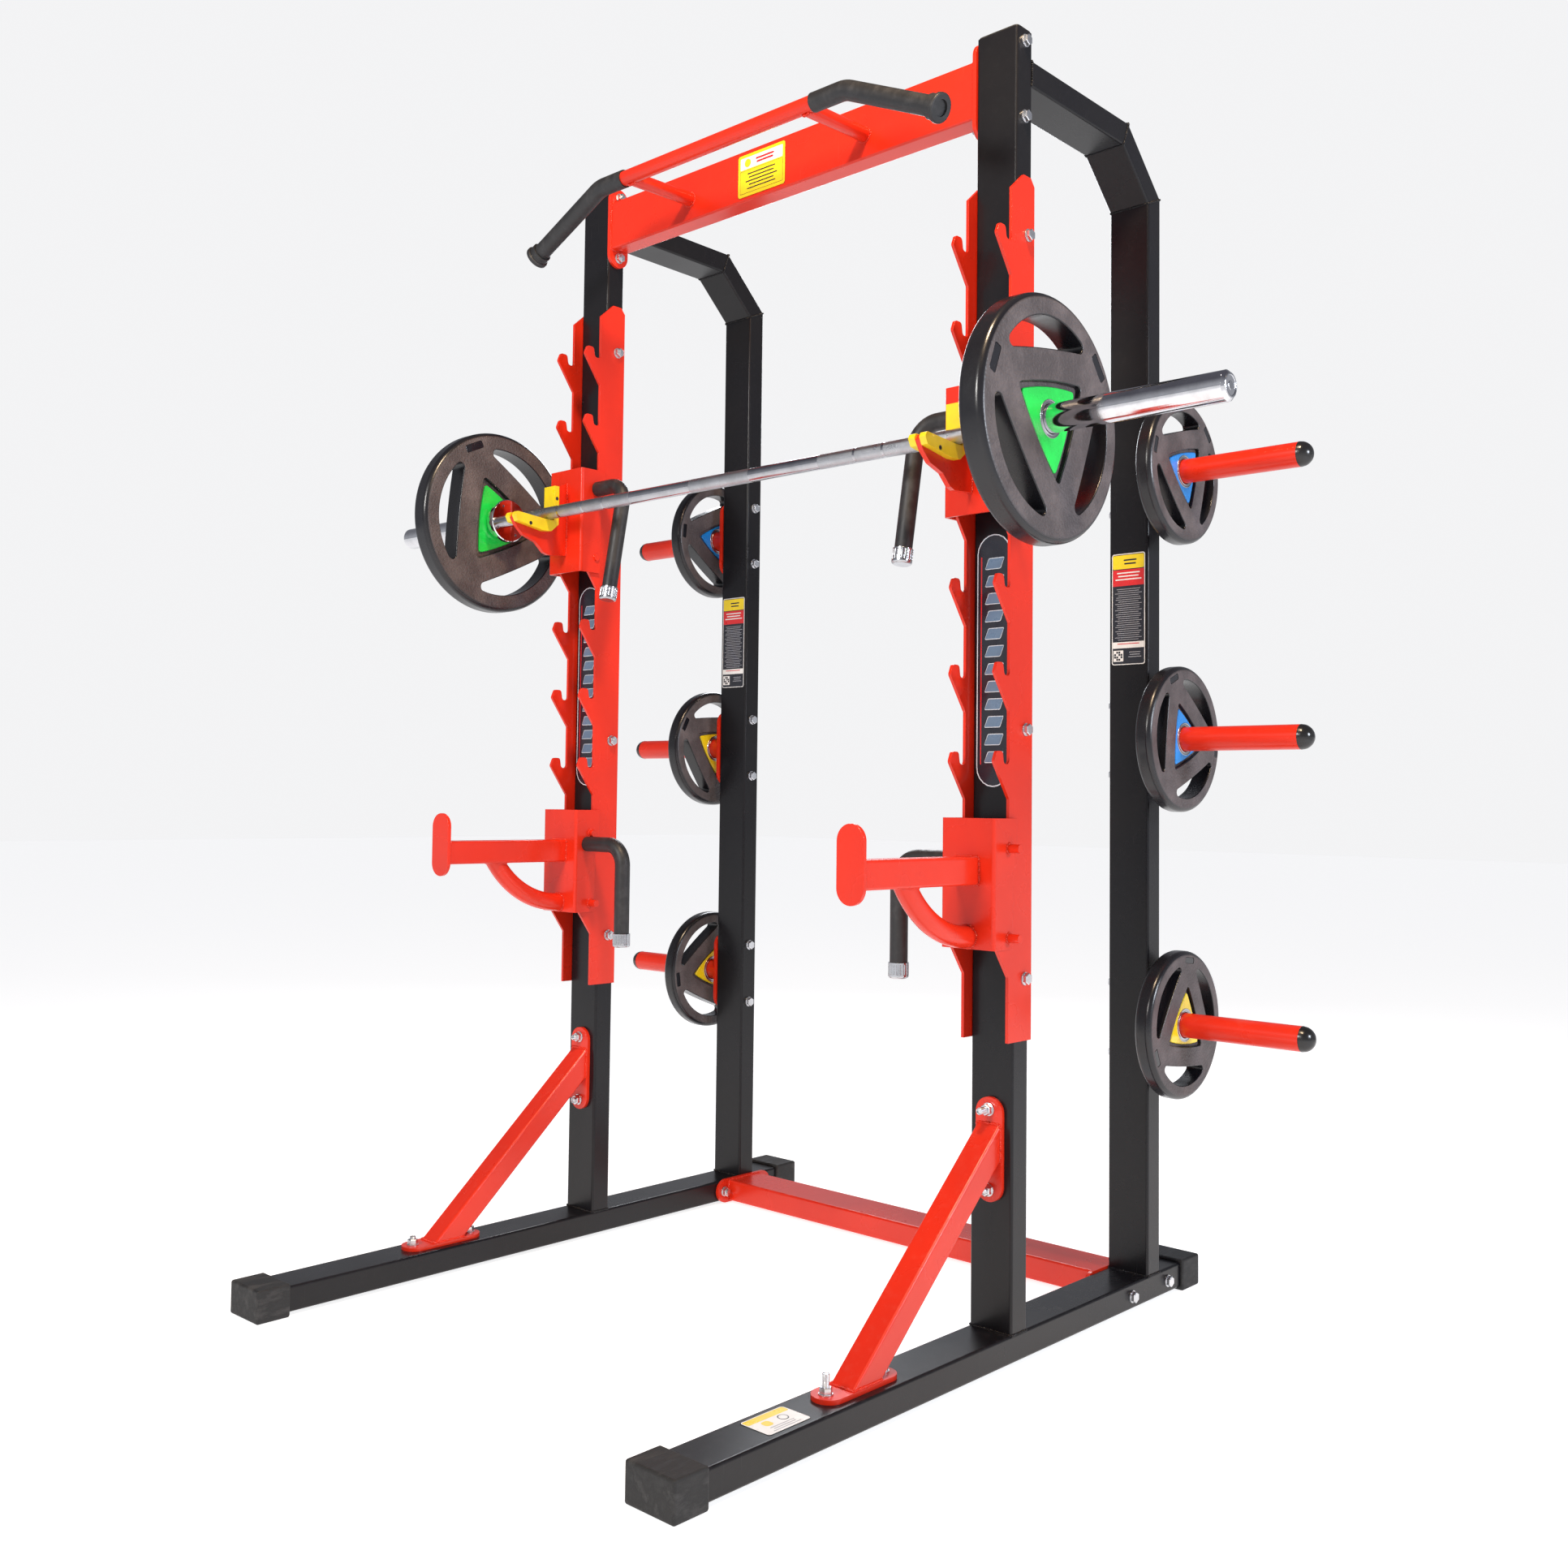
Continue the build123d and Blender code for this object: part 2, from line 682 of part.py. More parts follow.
def weight_plate(x, y, z, radius, thick, turned):
    """A three-grip plate with its low X face on x; turned is the angle of one spoke."""
    half = thick / 2
    floor = half * pocket_floor
    disc = revolve(Plane.XZ * Rectangle(radius, thick, align=(Align.MIN, Align.CENTER)), Axis.Z)
    disc = fillet(disc.edges().filter_by(GeomType.CIRCLE), min(13.0, half * 0.62))
    disc -= through(Circle(plate_hole + bush_wall + bush_gap), thick)
    disc -= through(plate_windows(radius), thick)
    pocket = fillet(curved_triangle(radius * 0.53, radius * 0.03).vertices(), radius * 0.03)
    cut = Pos(0, 0, floor) * extrude(pocket, half)
    disc = disc - cut - mirror(cut, Plane.XY)
    for top in (True, False):
        face = disc.faces().sort_by(Axis.Z)[-1 if top else 0]
        rims = []
        for wire in face.inner_wires():
            rims.extend(wire.edges())
        disc = fillet(rims, plate_edge * radius)
    for spoke in (0, 1):
        pad = Pos(radius * 0.875, 0, half) * Box(radius * 0.085, radius * 0.24, 2 * pad_deep)
        pad = Rot(0, 0, 120 * spoke) * fillet(pad.edges().filter_by(Axis.Z), radius * 0.02)
        disc = disc - pad - mirror(pad, Plane.XY)
    return place_plate(disc, x + half, y, z, turned)


def place_plate(solid, x, y, z, turned):
    turn = Plane(Vector(x, y, z), x_dir=Vector(0, 1, 0), z_dir=Vector(1, 0, 0))
    return turn.location * (Rot(0, 0, turned) * solid)


def plate_insert(x, y, z, radius, thick, turned):
    """Coloured curved triangles lying in the pockets of both faces."""
    half = thick / 2
    shape = fillet(curved_triangle(radius * 0.45, radius * 0.03).vertices(), radius * 0.03)
    front = Pos(0, 0, half * pocket_floor) * extrude(shape, insert_thick)
    front = chamfer(front.edges().group_by(Axis.Z)[-1], 1.2)
    front -= through(Circle(plate_hole + bush_wall + 10 * bush_gap), thick)
    solids = []
    for item in (front, mirror(front, Plane.XY)):
        solids.append(place_plate(item, x + half, y, z, turned))
    return solids


def plate_bush(x, y, z, thick):
    """The steel bush through a plate, level with the faces of its inserts."""
    reach = thick / 2 * pocket_floor + insert_thick
    ring = Pos(0, 0, -reach) * extrude(Circle(plate_hole + bush_wall) - Circle(plate_hole), 2 * reach)
    return place_plate(ring, x + thick / 2, y, z, 0)


# ---- labels -------------------------------------------------------------------------------
def upright_strip(side):
    middle = Vector(side * tube_mid, front_y, strip_mid_z)
    plane = Plane(middle, x_dir=Vector(0, 0, 1), z_dir=Vector(0, -1, 0))
    return extrude(plane * SlotOverall(470, 76), 1.2)


def info_panels():
    solids = []
    for side in (-1, 1):
        plane = Plane(Vector(side * tube_mid, rear_y, panel_mid_z), x_dir=Vector(1, 0, 0), z_dir=Vector(0, -1, 0))
        solids.append(extrude(plane * RectangleRounded(76, 232, 5), 0.8))
    plane = Plane(Vector(-32.0, front_y, 2356.0), x_dir=Vector(1, 0, 0), z_dir=Vector(0, -1, 0))
    solids.append(extrude(plane * RectangleRounded(136, 92, 5), 0.8))
    plane = Plane(Vector(tube_mid, front_y - 575.0, rail_top), x_dir=Vector(0, 1, 0), z_dir=Vector(0, 0, 1))
    solids.append(extrude(plane * RectangleRounded(96, 62, 4), 0.8))
    return solids


# ---- fasteners ----------------------------------------------------------------------------
def hex_bolt(head_at, way, length, nut_at):
    """A hex bolt with its nut and washers: head seat, direction, shank length and nut seat distance."""
    base = Vector(*head_at)
    along = Vector(*way)
    turn = Plane(base, z_dir=along)
    radius = hex_across / math.sqrt(3)
    shank = extrude(turn * Circle(bolt_r), length)
    head_plane = Plane(base - along * (washer_thick + head_thick), z_dir=along)
    head = extrude(head_plane * RegularPolygon(radius, 6), head_thick)
    head = chamfer(head.faces().sort_by(lambda f: (f.center() - base).dot(along))[0].edges(), 1.2)
    washer = extrude(Plane(base - along * washer_thick, z_dir=along) * Circle(washer_r), washer_thick)
    bolt = shank + head + washer
    nut_plane = Plane(base + along * nut_at, z_dir=along)
    ring = extrude(nut_plane * (Circle(washer_r) - Circle(bolt_r + 0.05)), washer_thick)
    nut_plane = Plane(base + along * (nut_at + washer_thick + 0.01), z_dir=along)
    nut = extrude(nut_plane * (RegularPolygon(radius, 6) - Circle(bolt_r + 0.05)), nut_thick)
    nut = chamfer(nut.faces().sort_by(lambda f: (f.center() - base).dot(along))[-1].outer_wire().edges(), 1.2)
    return bolt, [ring, nut]


def all_bolts():
    bolts = []
    nuts = []

    def add(head_at, way, nut_at, spare):
        length = nut_at + washer_thick + nut_thick + spare
        bolt, pair = hex_bolt(head_at, way, length, nut_at)
        bolts.append(bolt)
        nuts.extend(pair)

    for side in (-1, 1):
        outer = side * half_width
        for y, z in beam_bolts + cross_bolts:
            add((outer, y, z), (-side, 0, 0), tube_wide + flange_thick, 3)
        for y, z in notch_bolts:
            add((outer + side * notch_thick, y, z), (-side, 0, 0), tube_wide + 2 * notch_thick, 3)
        for y, z in peg_bolts:
            add((side * inner_x, y, z), (side, 0, 0), tube_wide + flange_thick, 3)
        x = side * tube_mid
        for z in brace_top_bolts:
            spare = 16 if side > 0 and z > brace_top_z else 4
            add((x, front_y + tube_wall, z), (0, -1, 0), tube_wall + flange_thick, spare)
        for y in brace_base_bolts:
            spare = 20 if side > 0 and y < brace_base_y else 5
            add((x, y, rail_top - tube_wall), (0, 0, 1), tube_wall + flange_thick, spare)
    return bolts, nuts


# ---- write every node -----------------------------------------------------------------------
save(both_sides(base_rail), "base_rails")
save(both_sides(front_upright), "front_uprights")
save(both_sides(rear_upright), "rear_uprights")
save(both_sides(top_arm), "top_arms")
save(both_sides(corner_slope), "corner_slopes")
save([foot(s, e) for s in (-1, 1) for e in (-1, 1)], "rubber_feet")
beam_flanges = [side_flange(s, front_y + 25, beam_mid_z, s * inner_x, True) for s in (-1, 1)]
save([beam()] + beam_flanges, "top_beam")
cross_flanges = [side_flange(s, cross_mid_y, 32.0, s * inner_x, False) for s in (-1, 1)]
save([crossmember()] + cross_flanges, "rear_crossmember")
save([pull_bar()] + both_sides(pull_strut), "pull_up_bar")
save(both_sides(pull_grip), "pull_up_grips")
save(both_sides(grip_cap), "pull_up_end_caps")
save([brace(-1), brace(1)] + brace_plates(-1) + brace_plates(1), "front_braces")
pegs = [peg(s, z) for s in (-1, 1) for z in peg_z]
save(pegs + [peg_flange(s, z) for s in (-1, 1) for z in peg_z], "storage_pegs")
save([peg_cap(s, z) for s in (-1, 1) for z in peg_z], "peg_end_balls")
save(both_sides(upright_strip), "upright_strips")
save(info_panels(), "info_panels")
bolt_solids, nut_solids = all_bolts()
save(bolt_solids, "hex_bolts")
save(nut_solids, "hex_nuts")

for side, name in ((-1, "left"), (1, "right")):
    inside = side * inner_x - (0 if side < 0 else notch_thick)
    outside = side * half_width - (notch_thick if side < 0 else 0)
    save([notched_plate(inside)], f"notched_plate_{name}_inner")
    save([notched_plate(outside)], f"notched_plate_{name}_outer")
    grip, core, knob = hook_set(side)
    save([carriage(side, hook_low, hook_high, hook_rods, (rod_in, 4)), core], f"bar_hook_bracket_{name}")
    save([hook_solid(side)], f"bar_hook_plate_{name}")
    save([hook_liner(side)], f"bar_hook_liner_{name}")
    save([grip], f"bar_hook_grip_{name}")
    save([knob], f"bar_hook_knob_{name}")
    grip, core, knob = safe_set(side)
    save([carriage(side, safe_low, safe_high, safe_rods, (10, rod_in)), core], f"safety_bracket_{name}")
    save([safety_arm(side), safety_prop(side), arm_end(side)], f"safety_arm_{name}")
    save([grip], f"safety_grip_{name}")
    save([knob], f"safety_knob_{name}")

save([bar_shaft()], "bar_shaft")
save([sleeve(-1)], "bar_sleeve_left")
save([sleeve(1)], "bar_sleeve_right")

bar_place = (bar_plate_r, bar_plate_thick)
store_place = (store_plate_r, store_plate_thick)
plate_places = [
    ("bar_plate_left", -bar_plate_x - bar_plate_thick, bar_y, bar_z, bar_place, -5),
    ("bar_plate_right", bar_plate_x, bar_y, bar_z, bar_place, 39),
]
store_turns = {-1: (55, 33, 68), 1: (45, -7, 84)}
for side, name in ((-1, "left"), (1, "right")):
    x = store_plate_x if side > 0 else -store_plate_x - store_plate_thick
    for level, z, turned in zip(("top", "middle", "bottom"), peg_z, store_turns[side]):
        plate_places.append((f"store_plate_{name}_{level}", x, peg_y, z, store_place, turned))
for node, x, y, z, (radius, thick), turned in plate_places:
    body = weight_plate(x, y, z, radius, thick, turned)
    save([body, plate_bush(x, y, z, thick)], node)
    save(plate_insert(x, y, z, radius, thick, turned), node.replace("plate", "insert"))
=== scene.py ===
import math

import bmesh
import bpy
from mathutils import Matrix, Vector


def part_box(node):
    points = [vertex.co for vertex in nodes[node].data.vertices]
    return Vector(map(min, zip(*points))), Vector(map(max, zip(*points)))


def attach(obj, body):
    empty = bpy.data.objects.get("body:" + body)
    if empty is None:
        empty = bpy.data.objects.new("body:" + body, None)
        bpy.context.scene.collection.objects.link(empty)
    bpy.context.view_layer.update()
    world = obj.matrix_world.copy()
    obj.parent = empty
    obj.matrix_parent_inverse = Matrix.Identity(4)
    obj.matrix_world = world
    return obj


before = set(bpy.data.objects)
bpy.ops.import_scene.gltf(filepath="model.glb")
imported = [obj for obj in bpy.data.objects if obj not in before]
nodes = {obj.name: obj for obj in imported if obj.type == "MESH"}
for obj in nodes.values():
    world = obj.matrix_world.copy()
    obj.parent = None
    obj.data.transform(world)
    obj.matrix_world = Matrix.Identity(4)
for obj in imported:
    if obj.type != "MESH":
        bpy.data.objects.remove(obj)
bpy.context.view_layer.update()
sides = {"left": -1, "right": 1}
levels = ("top", "middle", "bottom")
print("frame loaded,", len(nodes), "nodes")


def middle(node):
    low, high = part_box(node)
    return (low + high) / 2


def outermost(node, axis, side):
    low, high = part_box(node)
    return high[axis] if side > 0 else low[axis]


cameraSettings = {
    "place": (2.1673, -2.2764, 1.0050),
    "heading": 43.51,  # degrees, turned to the left of +Y
    "pitch": 2.60,
    "roll": 0.74,
    "lens": 35.09,
    "shift": (0.0254, -0.0334),
}


def makeCamera():
    s = cameraSettings
    heading, pitch, roll = (math.radians(s[k]) for k in ("heading", "pitch", "roll"))
    level = math.cos(pitch)
    ahead = Vector((-math.sin(heading) * level, math.cos(heading) * level, math.sin(pitch)))
    right = Vector((math.cos(heading), math.sin(heading), 0))
    up = right.cross(ahead)
    turnedRight = right * math.cos(roll) + up * math.sin(roll)
    turnedUp = up * math.cos(roll) - right * math.sin(roll)
    camera = bpy.data.objects.new("camera", bpy.data.cameras.new("camera"))
    bpy.context.scene.collection.objects.link(camera)
    camera.matrix_world = Matrix((turnedRight, turnedUp, -ahead)).transposed().to_4x4()
    camera.location = s["place"]
    camera.data.lens = s["lens"]
    camera.data.shift_x, camera.data.shift_y = s["shift"]
    camera.data.clip_end = 60
    bpy.context.scene.camera = camera


studioSettings = {
    "floorSize": 60.0,
    "floorColour": (0.58, 0.58, 0.59, 1),
    "floorGlow": 0.80,
    "backdrop": (0.90, 0.90, 0.91, 1),  # what stands behind the object
    "wallLight": (0.40, 0.41, 0.44, 1),  # what lights it from the sides
    "overheadLight": (0.10, 0.10, 0.12, 1),
    "skyBand": (0.15, 0.75),  # sine of the height where the wall starts and stops fading
    "lamps": [  # name, place, aim, size, watts, colour
        ("keyLamp", (0.2, -4.4, 3.2), (0, 0, 1.2), 1.2, 128, (1.0, 0.98, 0.94)),
        ("coolLamp", (4.2, 0.6, 2.2), (0.4, 0.2, 1.2), 1.0, 95, (0.84, 0.90, 1.0)),
        ("warmLamp", (1.2, -0.9, 3.9), (0.55, 0.2, 2.0), 0.45, 88, (1.0, 0.74, 0.48)),
        ("backLamp", (-2.4, 3.0, 3.2), (0, 0, 1.6), 1.5, 60, (0.92, 0.95, 1.0)),
    ],
}


def makeWorld():
    # a bright wall that fades to dim overhead, so bright metal has something dark to mirror
    s = studioSettings
    world = bpy.data.worlds.new("studio")
    world.use_nodes = True
    tree = world.node_tree
    point = addNode(tree, "ShaderNodeTexCoord").outputs["Generated"]
    height = addNode(tree, "ShaderNodeSeparateXYZ", {"Vector": point}).outputs["Z"]
    fade = remap(tree, height, *s["skyBand"], 0.0, 1.0)
    light = blendColour(tree, fade, s["wallLight"], s["overheadLight"])
    seen = addNode(tree, "ShaderNodeLightPath").outputs["Is Camera Ray"]
    tree.links.new(blendColour(tree, seen, light, s["backdrop"]), tree.nodes["Background"].inputs["Color"])
    bpy.context.scene.world = world


def makeStudio():
    s = studioSettings
    scene = bpy.context.scene
    scene.view_settings.view_transform = "Standard"
    makeWorld()
    for name, place, aim, size, watts, colour in s["lamps"]:
        lamp = bpy.data.lights.new(name, "AREA")
        lamp.shape = "DISK"
        lamp.size = size
        lamp.energy = watts
        lamp.color = colour
        holder = bpy.data.objects.new(name, lamp)
        holder.location = place
        holder.rotation_euler = (Vector(aim) - Vector(place)).to_track_quat("-Z", "Y").to_euler()
        scene.collection.objects.link(holder)
    half = s["floorSize"] / 2
    mesh = bpy.data.meshes.new("floor")
    corners = [(-half, -half, 0), (half, -half, 0), (half, half, 0), (-half, half, 0)]
    mesh.from_pydata(corners, [], [(0, 1, 2, 3)])
    floor = bpy.data.objects.new("floor", mesh)
    scene.collection.objects.link(floor)
    material, tree, shader = newMaterial("paleFloor")
    setInputs(
        shader, tree, Base_Color=s["floorColour"], Roughness=0.8,
        Emission_Color=(1, 1, 1, 1), Emission_Strength=s["floorGlow"],
    )
    mesh.materials.append(material)


def newMaterial(name):
    material = bpy.data.materials.new(name)
    material.use_nodes = True
    return material, material.node_tree, material.node_tree.nodes["Principled BSDF"]


def addNode(tree, kind, sockets=None, **settings):
    node = tree.nodes.new(kind)
    for key, value in settings.items():
        setattr(node, key, value)
    for key, value in (sockets or {}).items():
        if isinstance(value, bpy.types.NodeSocket):
            tree.links.new(value, node.inputs[key])
        else:
            node.inputs[key].default_value = value
    return node


def objectPoint(tree, stretch=(1, 1, 1)):
    point = addNode(tree, "ShaderNodeTexCoord").outputs["Object"]
    if stretch == (1, 1, 1):
        return point
    return addNode(tree, "ShaderNodeMapping", {"Vector": point, "Scale": stretch}).outputs["Vector"]


def noise(tree, point, scale, detail=3.0, roughness=0.5):
    sockets = {"Vector": point, "Scale": scale, "Detail": detail, "Roughness": roughness}
    return addNode(tree, "ShaderNodeTexNoise", sockets).outputs["Fac"]


def remap(tree, value, lowIn, highIn, lowOut, highOut):
    sockets = {"Value": value, "From Min": lowIn, "From Max": highIn, "To Min": lowOut, "To Max": highOut}
    return addNode(tree, "ShaderNodeMapRange", sockets).outputs["Result"]


def maths(tree, operation, first, second=0.0):
    node = addNode(tree, "ShaderNodeMath", {0: first, 1: second}, operation=operation)
    return node.outputs["Value"]


def blendColour(tree, factor, first, second, how="MIX"):
    sockets = {"Factor": factor, "A": first, "B": second}
    node = addNode(tree, "ShaderNodeMix", None, data_type="RGBA", blend_type=how)
    for key, index in (("Factor", 0), ("A", 6), ("B", 7)):
        value = sockets[key]
        if isinstance(value, bpy.types.NodeSocket):
            tree.links.new(value, node.inputs[index])
        else:
            node.inputs[index].default_value = value
    return node.outputs[2]


def softEdges(tree, radius):
    return addNode(tree, "ShaderNodeBevel", {"Radius": radius}, samples=4).outputs["Normal"]


def bump(tree, height, distance, strength=1.0, normal=None):
    sockets = {"Height": height, "Distance": distance, "Strength": strength}
    if normal is not None:
        sockets["Normal"] = normal
    return addNode(tree, "ShaderNodeBump", sockets).outputs["Normal"]


def facing(tree, axis):
    normal = addNode(tree, "ShaderNodeNewGeometry").outputs["Normal"]
    return addNode(tree, "ShaderNodeSeparateXYZ", {"Vector": normal}).outputs[axis]


def setInputs(shader, tree, **values):
    for key, value in values.items():
        name = key.replace("_", " ")
        if isinstance(value, bpy.types.NodeSocket):
            tree.links.new(value, shader.inputs[name])
        else:
            shader.inputs[name].default_value = value


paintGrain = {"clouds": 5.0, "peel": 620.0, "specks": 55.0, "streak": (260, 260, 9)}

paintSettings = {
    "redPaint": {
        "colour": (0.720, 0.026, 0.007, 1), "deep": (0.52, 0.016, 0.005, 1),
        "dust": (0.62, 0.20, 0.15, 1),
        "roughness": (0.24, 0.38), "dustAmount": 0.16, "edge": 0.0012, "peel": 0.00010, "coat": 0.12,
        "shine": 0.38,
    },
    "blackPaint": {
        "colour": (0.0066, 0.0064, 0.0086, 1), "deep": (0.0095, 0.0084, 0.0088, 1),
        "dust": (0.10, 0.095, 0.10, 1),
        "roughness": (0.24, 0.40), "dustAmount": 0.24, "edge": 0.0010, "peel": 0.00012, "coat": 0.05,
        "shine": 0.27,
    },
}


def makePaint(name):
    # powder coat: cloudy tone, orange peel, settled dust on top faces and fine rubbed scratches
    s = paintSettings[name]
    material, tree, shader = newMaterial(name)
    point = objectPoint(tree)
    clouds = noise(tree, point, paintGrain["clouds"], 4.0)
    peel = noise(tree, point, paintGrain["peel"], 2.0)
    tone = blendColour(tree, remap(tree, clouds, 0.35, 0.75, 0.0, 0.55), s["colour"], s["deep"])
    upward = remap(tree, facing(tree, "Z"), 0.3, 1.0, 0.15, 1.0)
    specks = noise(tree, point, paintGrain["specks"], 8.0, 0.7)
    dust = maths(tree, "MULTIPLY", remap(tree, specks, 0.52, 0.78, 0.0, s["dustAmount"]), upward)
    streak = noise(tree, objectPoint(tree, paintGrain["streak"]), 1.0, 3.0)
    rubbed = remap(tree, streak, 0.70, 0.78, 0.0, 0.12)
    marks = maths(tree, "MAXIMUM", dust, rubbed)
    setInputs(
        shader, tree,
        Base_Color=blendColour(tree, marks, tone, s["dust"]),
        Roughness=remap(tree, maths(tree, "ADD", clouds, marks), 0.3, 1.0, *s["roughness"]),
        Coat_Weight=s["coat"], Coat_Roughness=0.12, Specular_IOR_Level=s["shine"],
        Normal=bump(tree, peel, s["peel"], 0.6, softEdges(tree, s["edge"])),
    )
    return material


rubberSettings = {
    "footRubber": {
        "colour": (0.012, 0.012, 0.013, 1), "worn": (0.075, 0.072, 0.072, 1), "roughness": (0.55, 0.85),
        "grain": 380.0, "depth": 0.00035, "wear": (0.50, 0.72), "wearAmount": 0.75, "edge": 0.0015,
    },
    "gripRubber": {
        "colour": (0.016, 0.016, 0.018, 1), "worn": (0.055, 0.054, 0.058, 1), "roughness": (0.38, 0.58),
        "grain": 900.0, "depth": 0.00014, "wear": (0.50, 0.80), "wearAmount": 0.6, "edge": 0.0008,
    },
    "ballPlastic": {
        "colour": (0.012, 0.012, 0.013, 1), "worn": (0.05, 0.05, 0.052, 1), "roughness": (0.16, 0.30),
        "grain": 500.0, "depth": 0.00004, "wear": (0.60, 0.85), "wearAmount": 0.5, "edge": 0.0006,
    },
}


def makeRubber(name):
    s = rubberSettings[name]
    material, tree, shader = newMaterial(name)
    point = objectPoint(tree)
    scuffs = noise(tree, objectPoint(tree, (60, 14, 45)), 1.0, 8.0, 0.65)
    grain = noise(tree, point, s["grain"], 3.0)
    wear = remap(tree, scuffs, *s["wear"], 0.0, s["wearAmount"])
    setInputs(
        shader, tree,
        Base_Color=blendColour(tree, wear, s["colour"], s["worn"]),
        Roughness=remap(tree, scuffs, 0.3, 0.7, *s["roughness"]),
        Normal=bump(tree, grain, s["depth"], 0.7, softEdges(tree, s["edge"])),
    )
    return material


plateSettings = {
    "flat": (0.066, 0.054, 0.056, 1), "pale": (0.150, 0.124, 0.126, 1), "wall": (0.010, 0.010, 0.013, 1),
    "pebble": 230.0, "pebbleDepth": 0.0013, "flatRoughness": 0.56, "wallRoughness": 0.24,
}


def makePlateRubber():
    # pebbled on the two flat faces, smooth and glossier on the rim and in the windows
    s = plateSettings
    material, tree, shader = newMaterial("plateRubber")
    point = objectPoint(tree)
    sideways = maths(tree, "ABSOLUTE", facing(tree, "X"))
    flat = remap(tree, sideways, 0.90, 0.995, 0.0, 1.0)
    sockets = {"Vector": point, "Scale": s["pebble"]}
    cells = addNode(tree, "ShaderNodeTexVoronoi", sockets, feature="SMOOTH_F1")
    pebbles = maths(tree, "MULTIPLY", cells.outputs["Distance"], flat)
    clouds = noise(tree, point, 16.0, 5.0, 0.6)
    chalk = remap(tree, clouds, 0.42, 0.75, 0.0, 0.8)
    face = blendColour(tree, chalk, s["flat"], s["pale"])
    rough = remap(tree, flat, 0.0, 1.0, s["wallRoughness"], s["flatRoughness"])
    setInputs(
        shader, tree,
        Base_Color=blendColour(tree, flat, s["wall"], face),
        Roughness=maths(tree, "ADD", rough, remap(tree, clouds, 0.3, 0.7, -0.06, 0.08)),
        Normal=bump(tree, pebbles, s["pebbleDepth"], 0.9),
    )
    return material


insertColours = {
    "insertGreen": (0.012, 0.74, 0.085, 1),
    "insertBlue": (0.010, 0.27, 0.80, 1),
    "insertYellow": (0.83, 0.62, 0.012, 1),
}


def makeGloss(name, colour, roughness=0.22, wear=0.18):
    # moulded or painted gloss with faint clouding and small rubbed spots
    material, tree, shader = newMaterial(name)
    point = objectPoint(tree)
    clouds = noise(tree, point, 30.0, 4.0)
    spots = noise(tree, point, 160.0, 6.0, 0.7)
    darker = tuple(c * 0.72 for c in colour[:3]) + (1,)
    tone = blendColour(tree, remap(tree, clouds, 0.35, 0.7, 0.0, 0.6), colour, darker)
    rub = remap(tree, spots, 0.62, 0.78, 0.0, wear)
    setInputs(
        shader, tree,
        Base_Color=blendColour(tree, rub, tone, (0.55, 0.55, 0.52, 1)),
        Roughness=remap(tree, clouds, 0.3, 0.7, roughness * 0.8, roughness * 1.5),
        Coat_Weight=0.4, Coat_Roughness=0.08,
        Normal=bump(tree, noise(tree, point, 420.0, 2.0), 0.00006, 0.6, softEdges(tree, 0.0008)),
    )
    return material


steelEdge = 0.0006

steelSettings = {
    "satinChrome": {
        "colour": (0.52, 0.53, 0.56, 1), "roughness": (0.18, 0.30), "stretch": (40, 40, 40), "depth": 0.00001,
    },
    "turnedChrome": {
        "colour": (0.78, 0.78, 0.81, 1), "roughness": (0.05, 0.12), "stretch": (900, 6, 6), "depth": 0.00002,
    },
    "shaftChrome": {
        "colour": (0.50, 0.50, 0.53, 1), "roughness": (0.08, 0.20), "stretch": (900, 6, 6), "depth": 0.00002,
    },
    "knurledSteel": {
        "colour": (0.46, 0.47, 0.50, 1), "roughness": (0.24, 0.42), "stretch": (90, 90, 90), "depth": 0.00003,
    },
    "darkSteel": {
        "colour": (0.10, 0.10, 0.11, 1), "roughness": (0.30, 0.48), "stretch": (150, 150, 150),
        "depth": 0.00004,
    },
    "zinc": {
        "colour": (0.72, 0.73, 0.76, 1), "roughness": (0.22, 0.40), "stretch": (150, 150, 150),
        "depth": 0.00006,
    },
}


def makeSteel(name, colour, roughness, stretch, depth):
    # bright metal with fine turned or drawn lines and slight tarnish
    material, tree, shader = newMaterial(name)
    lines = noise(tree, objectPoint(tree, stretch), 1.0, 5.0, 0.6)
    tarnish = noise(tree, objectPoint(tree), 22.0, 6.0, 0.65)
    duller = tuple(c * 0.62 for c in colour[:3]) + (1,)
    setInputs(
        shader, tree,
        Base_Color=blendColour(tree, remap(tree, tarnish, 0.42, 0.75, 0.0, 0.7), colour, duller),
        Metallic=1.0,
        Roughness=remap(tree, maths(tree, "ADD", lines, tarnish), 0.7, 1.4, *roughness),
        Normal=bump(tree, lines, depth, 0.5, softEdges(tree, steelEdge)),
    )
    return material


filmColours = {
    "filmYellow": (0.90, 0.68, 0.012, 1),
    "filmRed": (0.68, 0.018, 0.022, 1),
    "filmWhite": (0.84, 0.84, 0.85, 1),
    "filmDark": (0.012, 0.013, 0.022, 1),
    "filmGrey": (0.36, 0.37, 0.42, 1),
    "filmSilver": (0.70, 0.74, 0.80, 1),
    "filmBlue": (0.13, 0.20, 0.30, 1),
}

finishes = {}


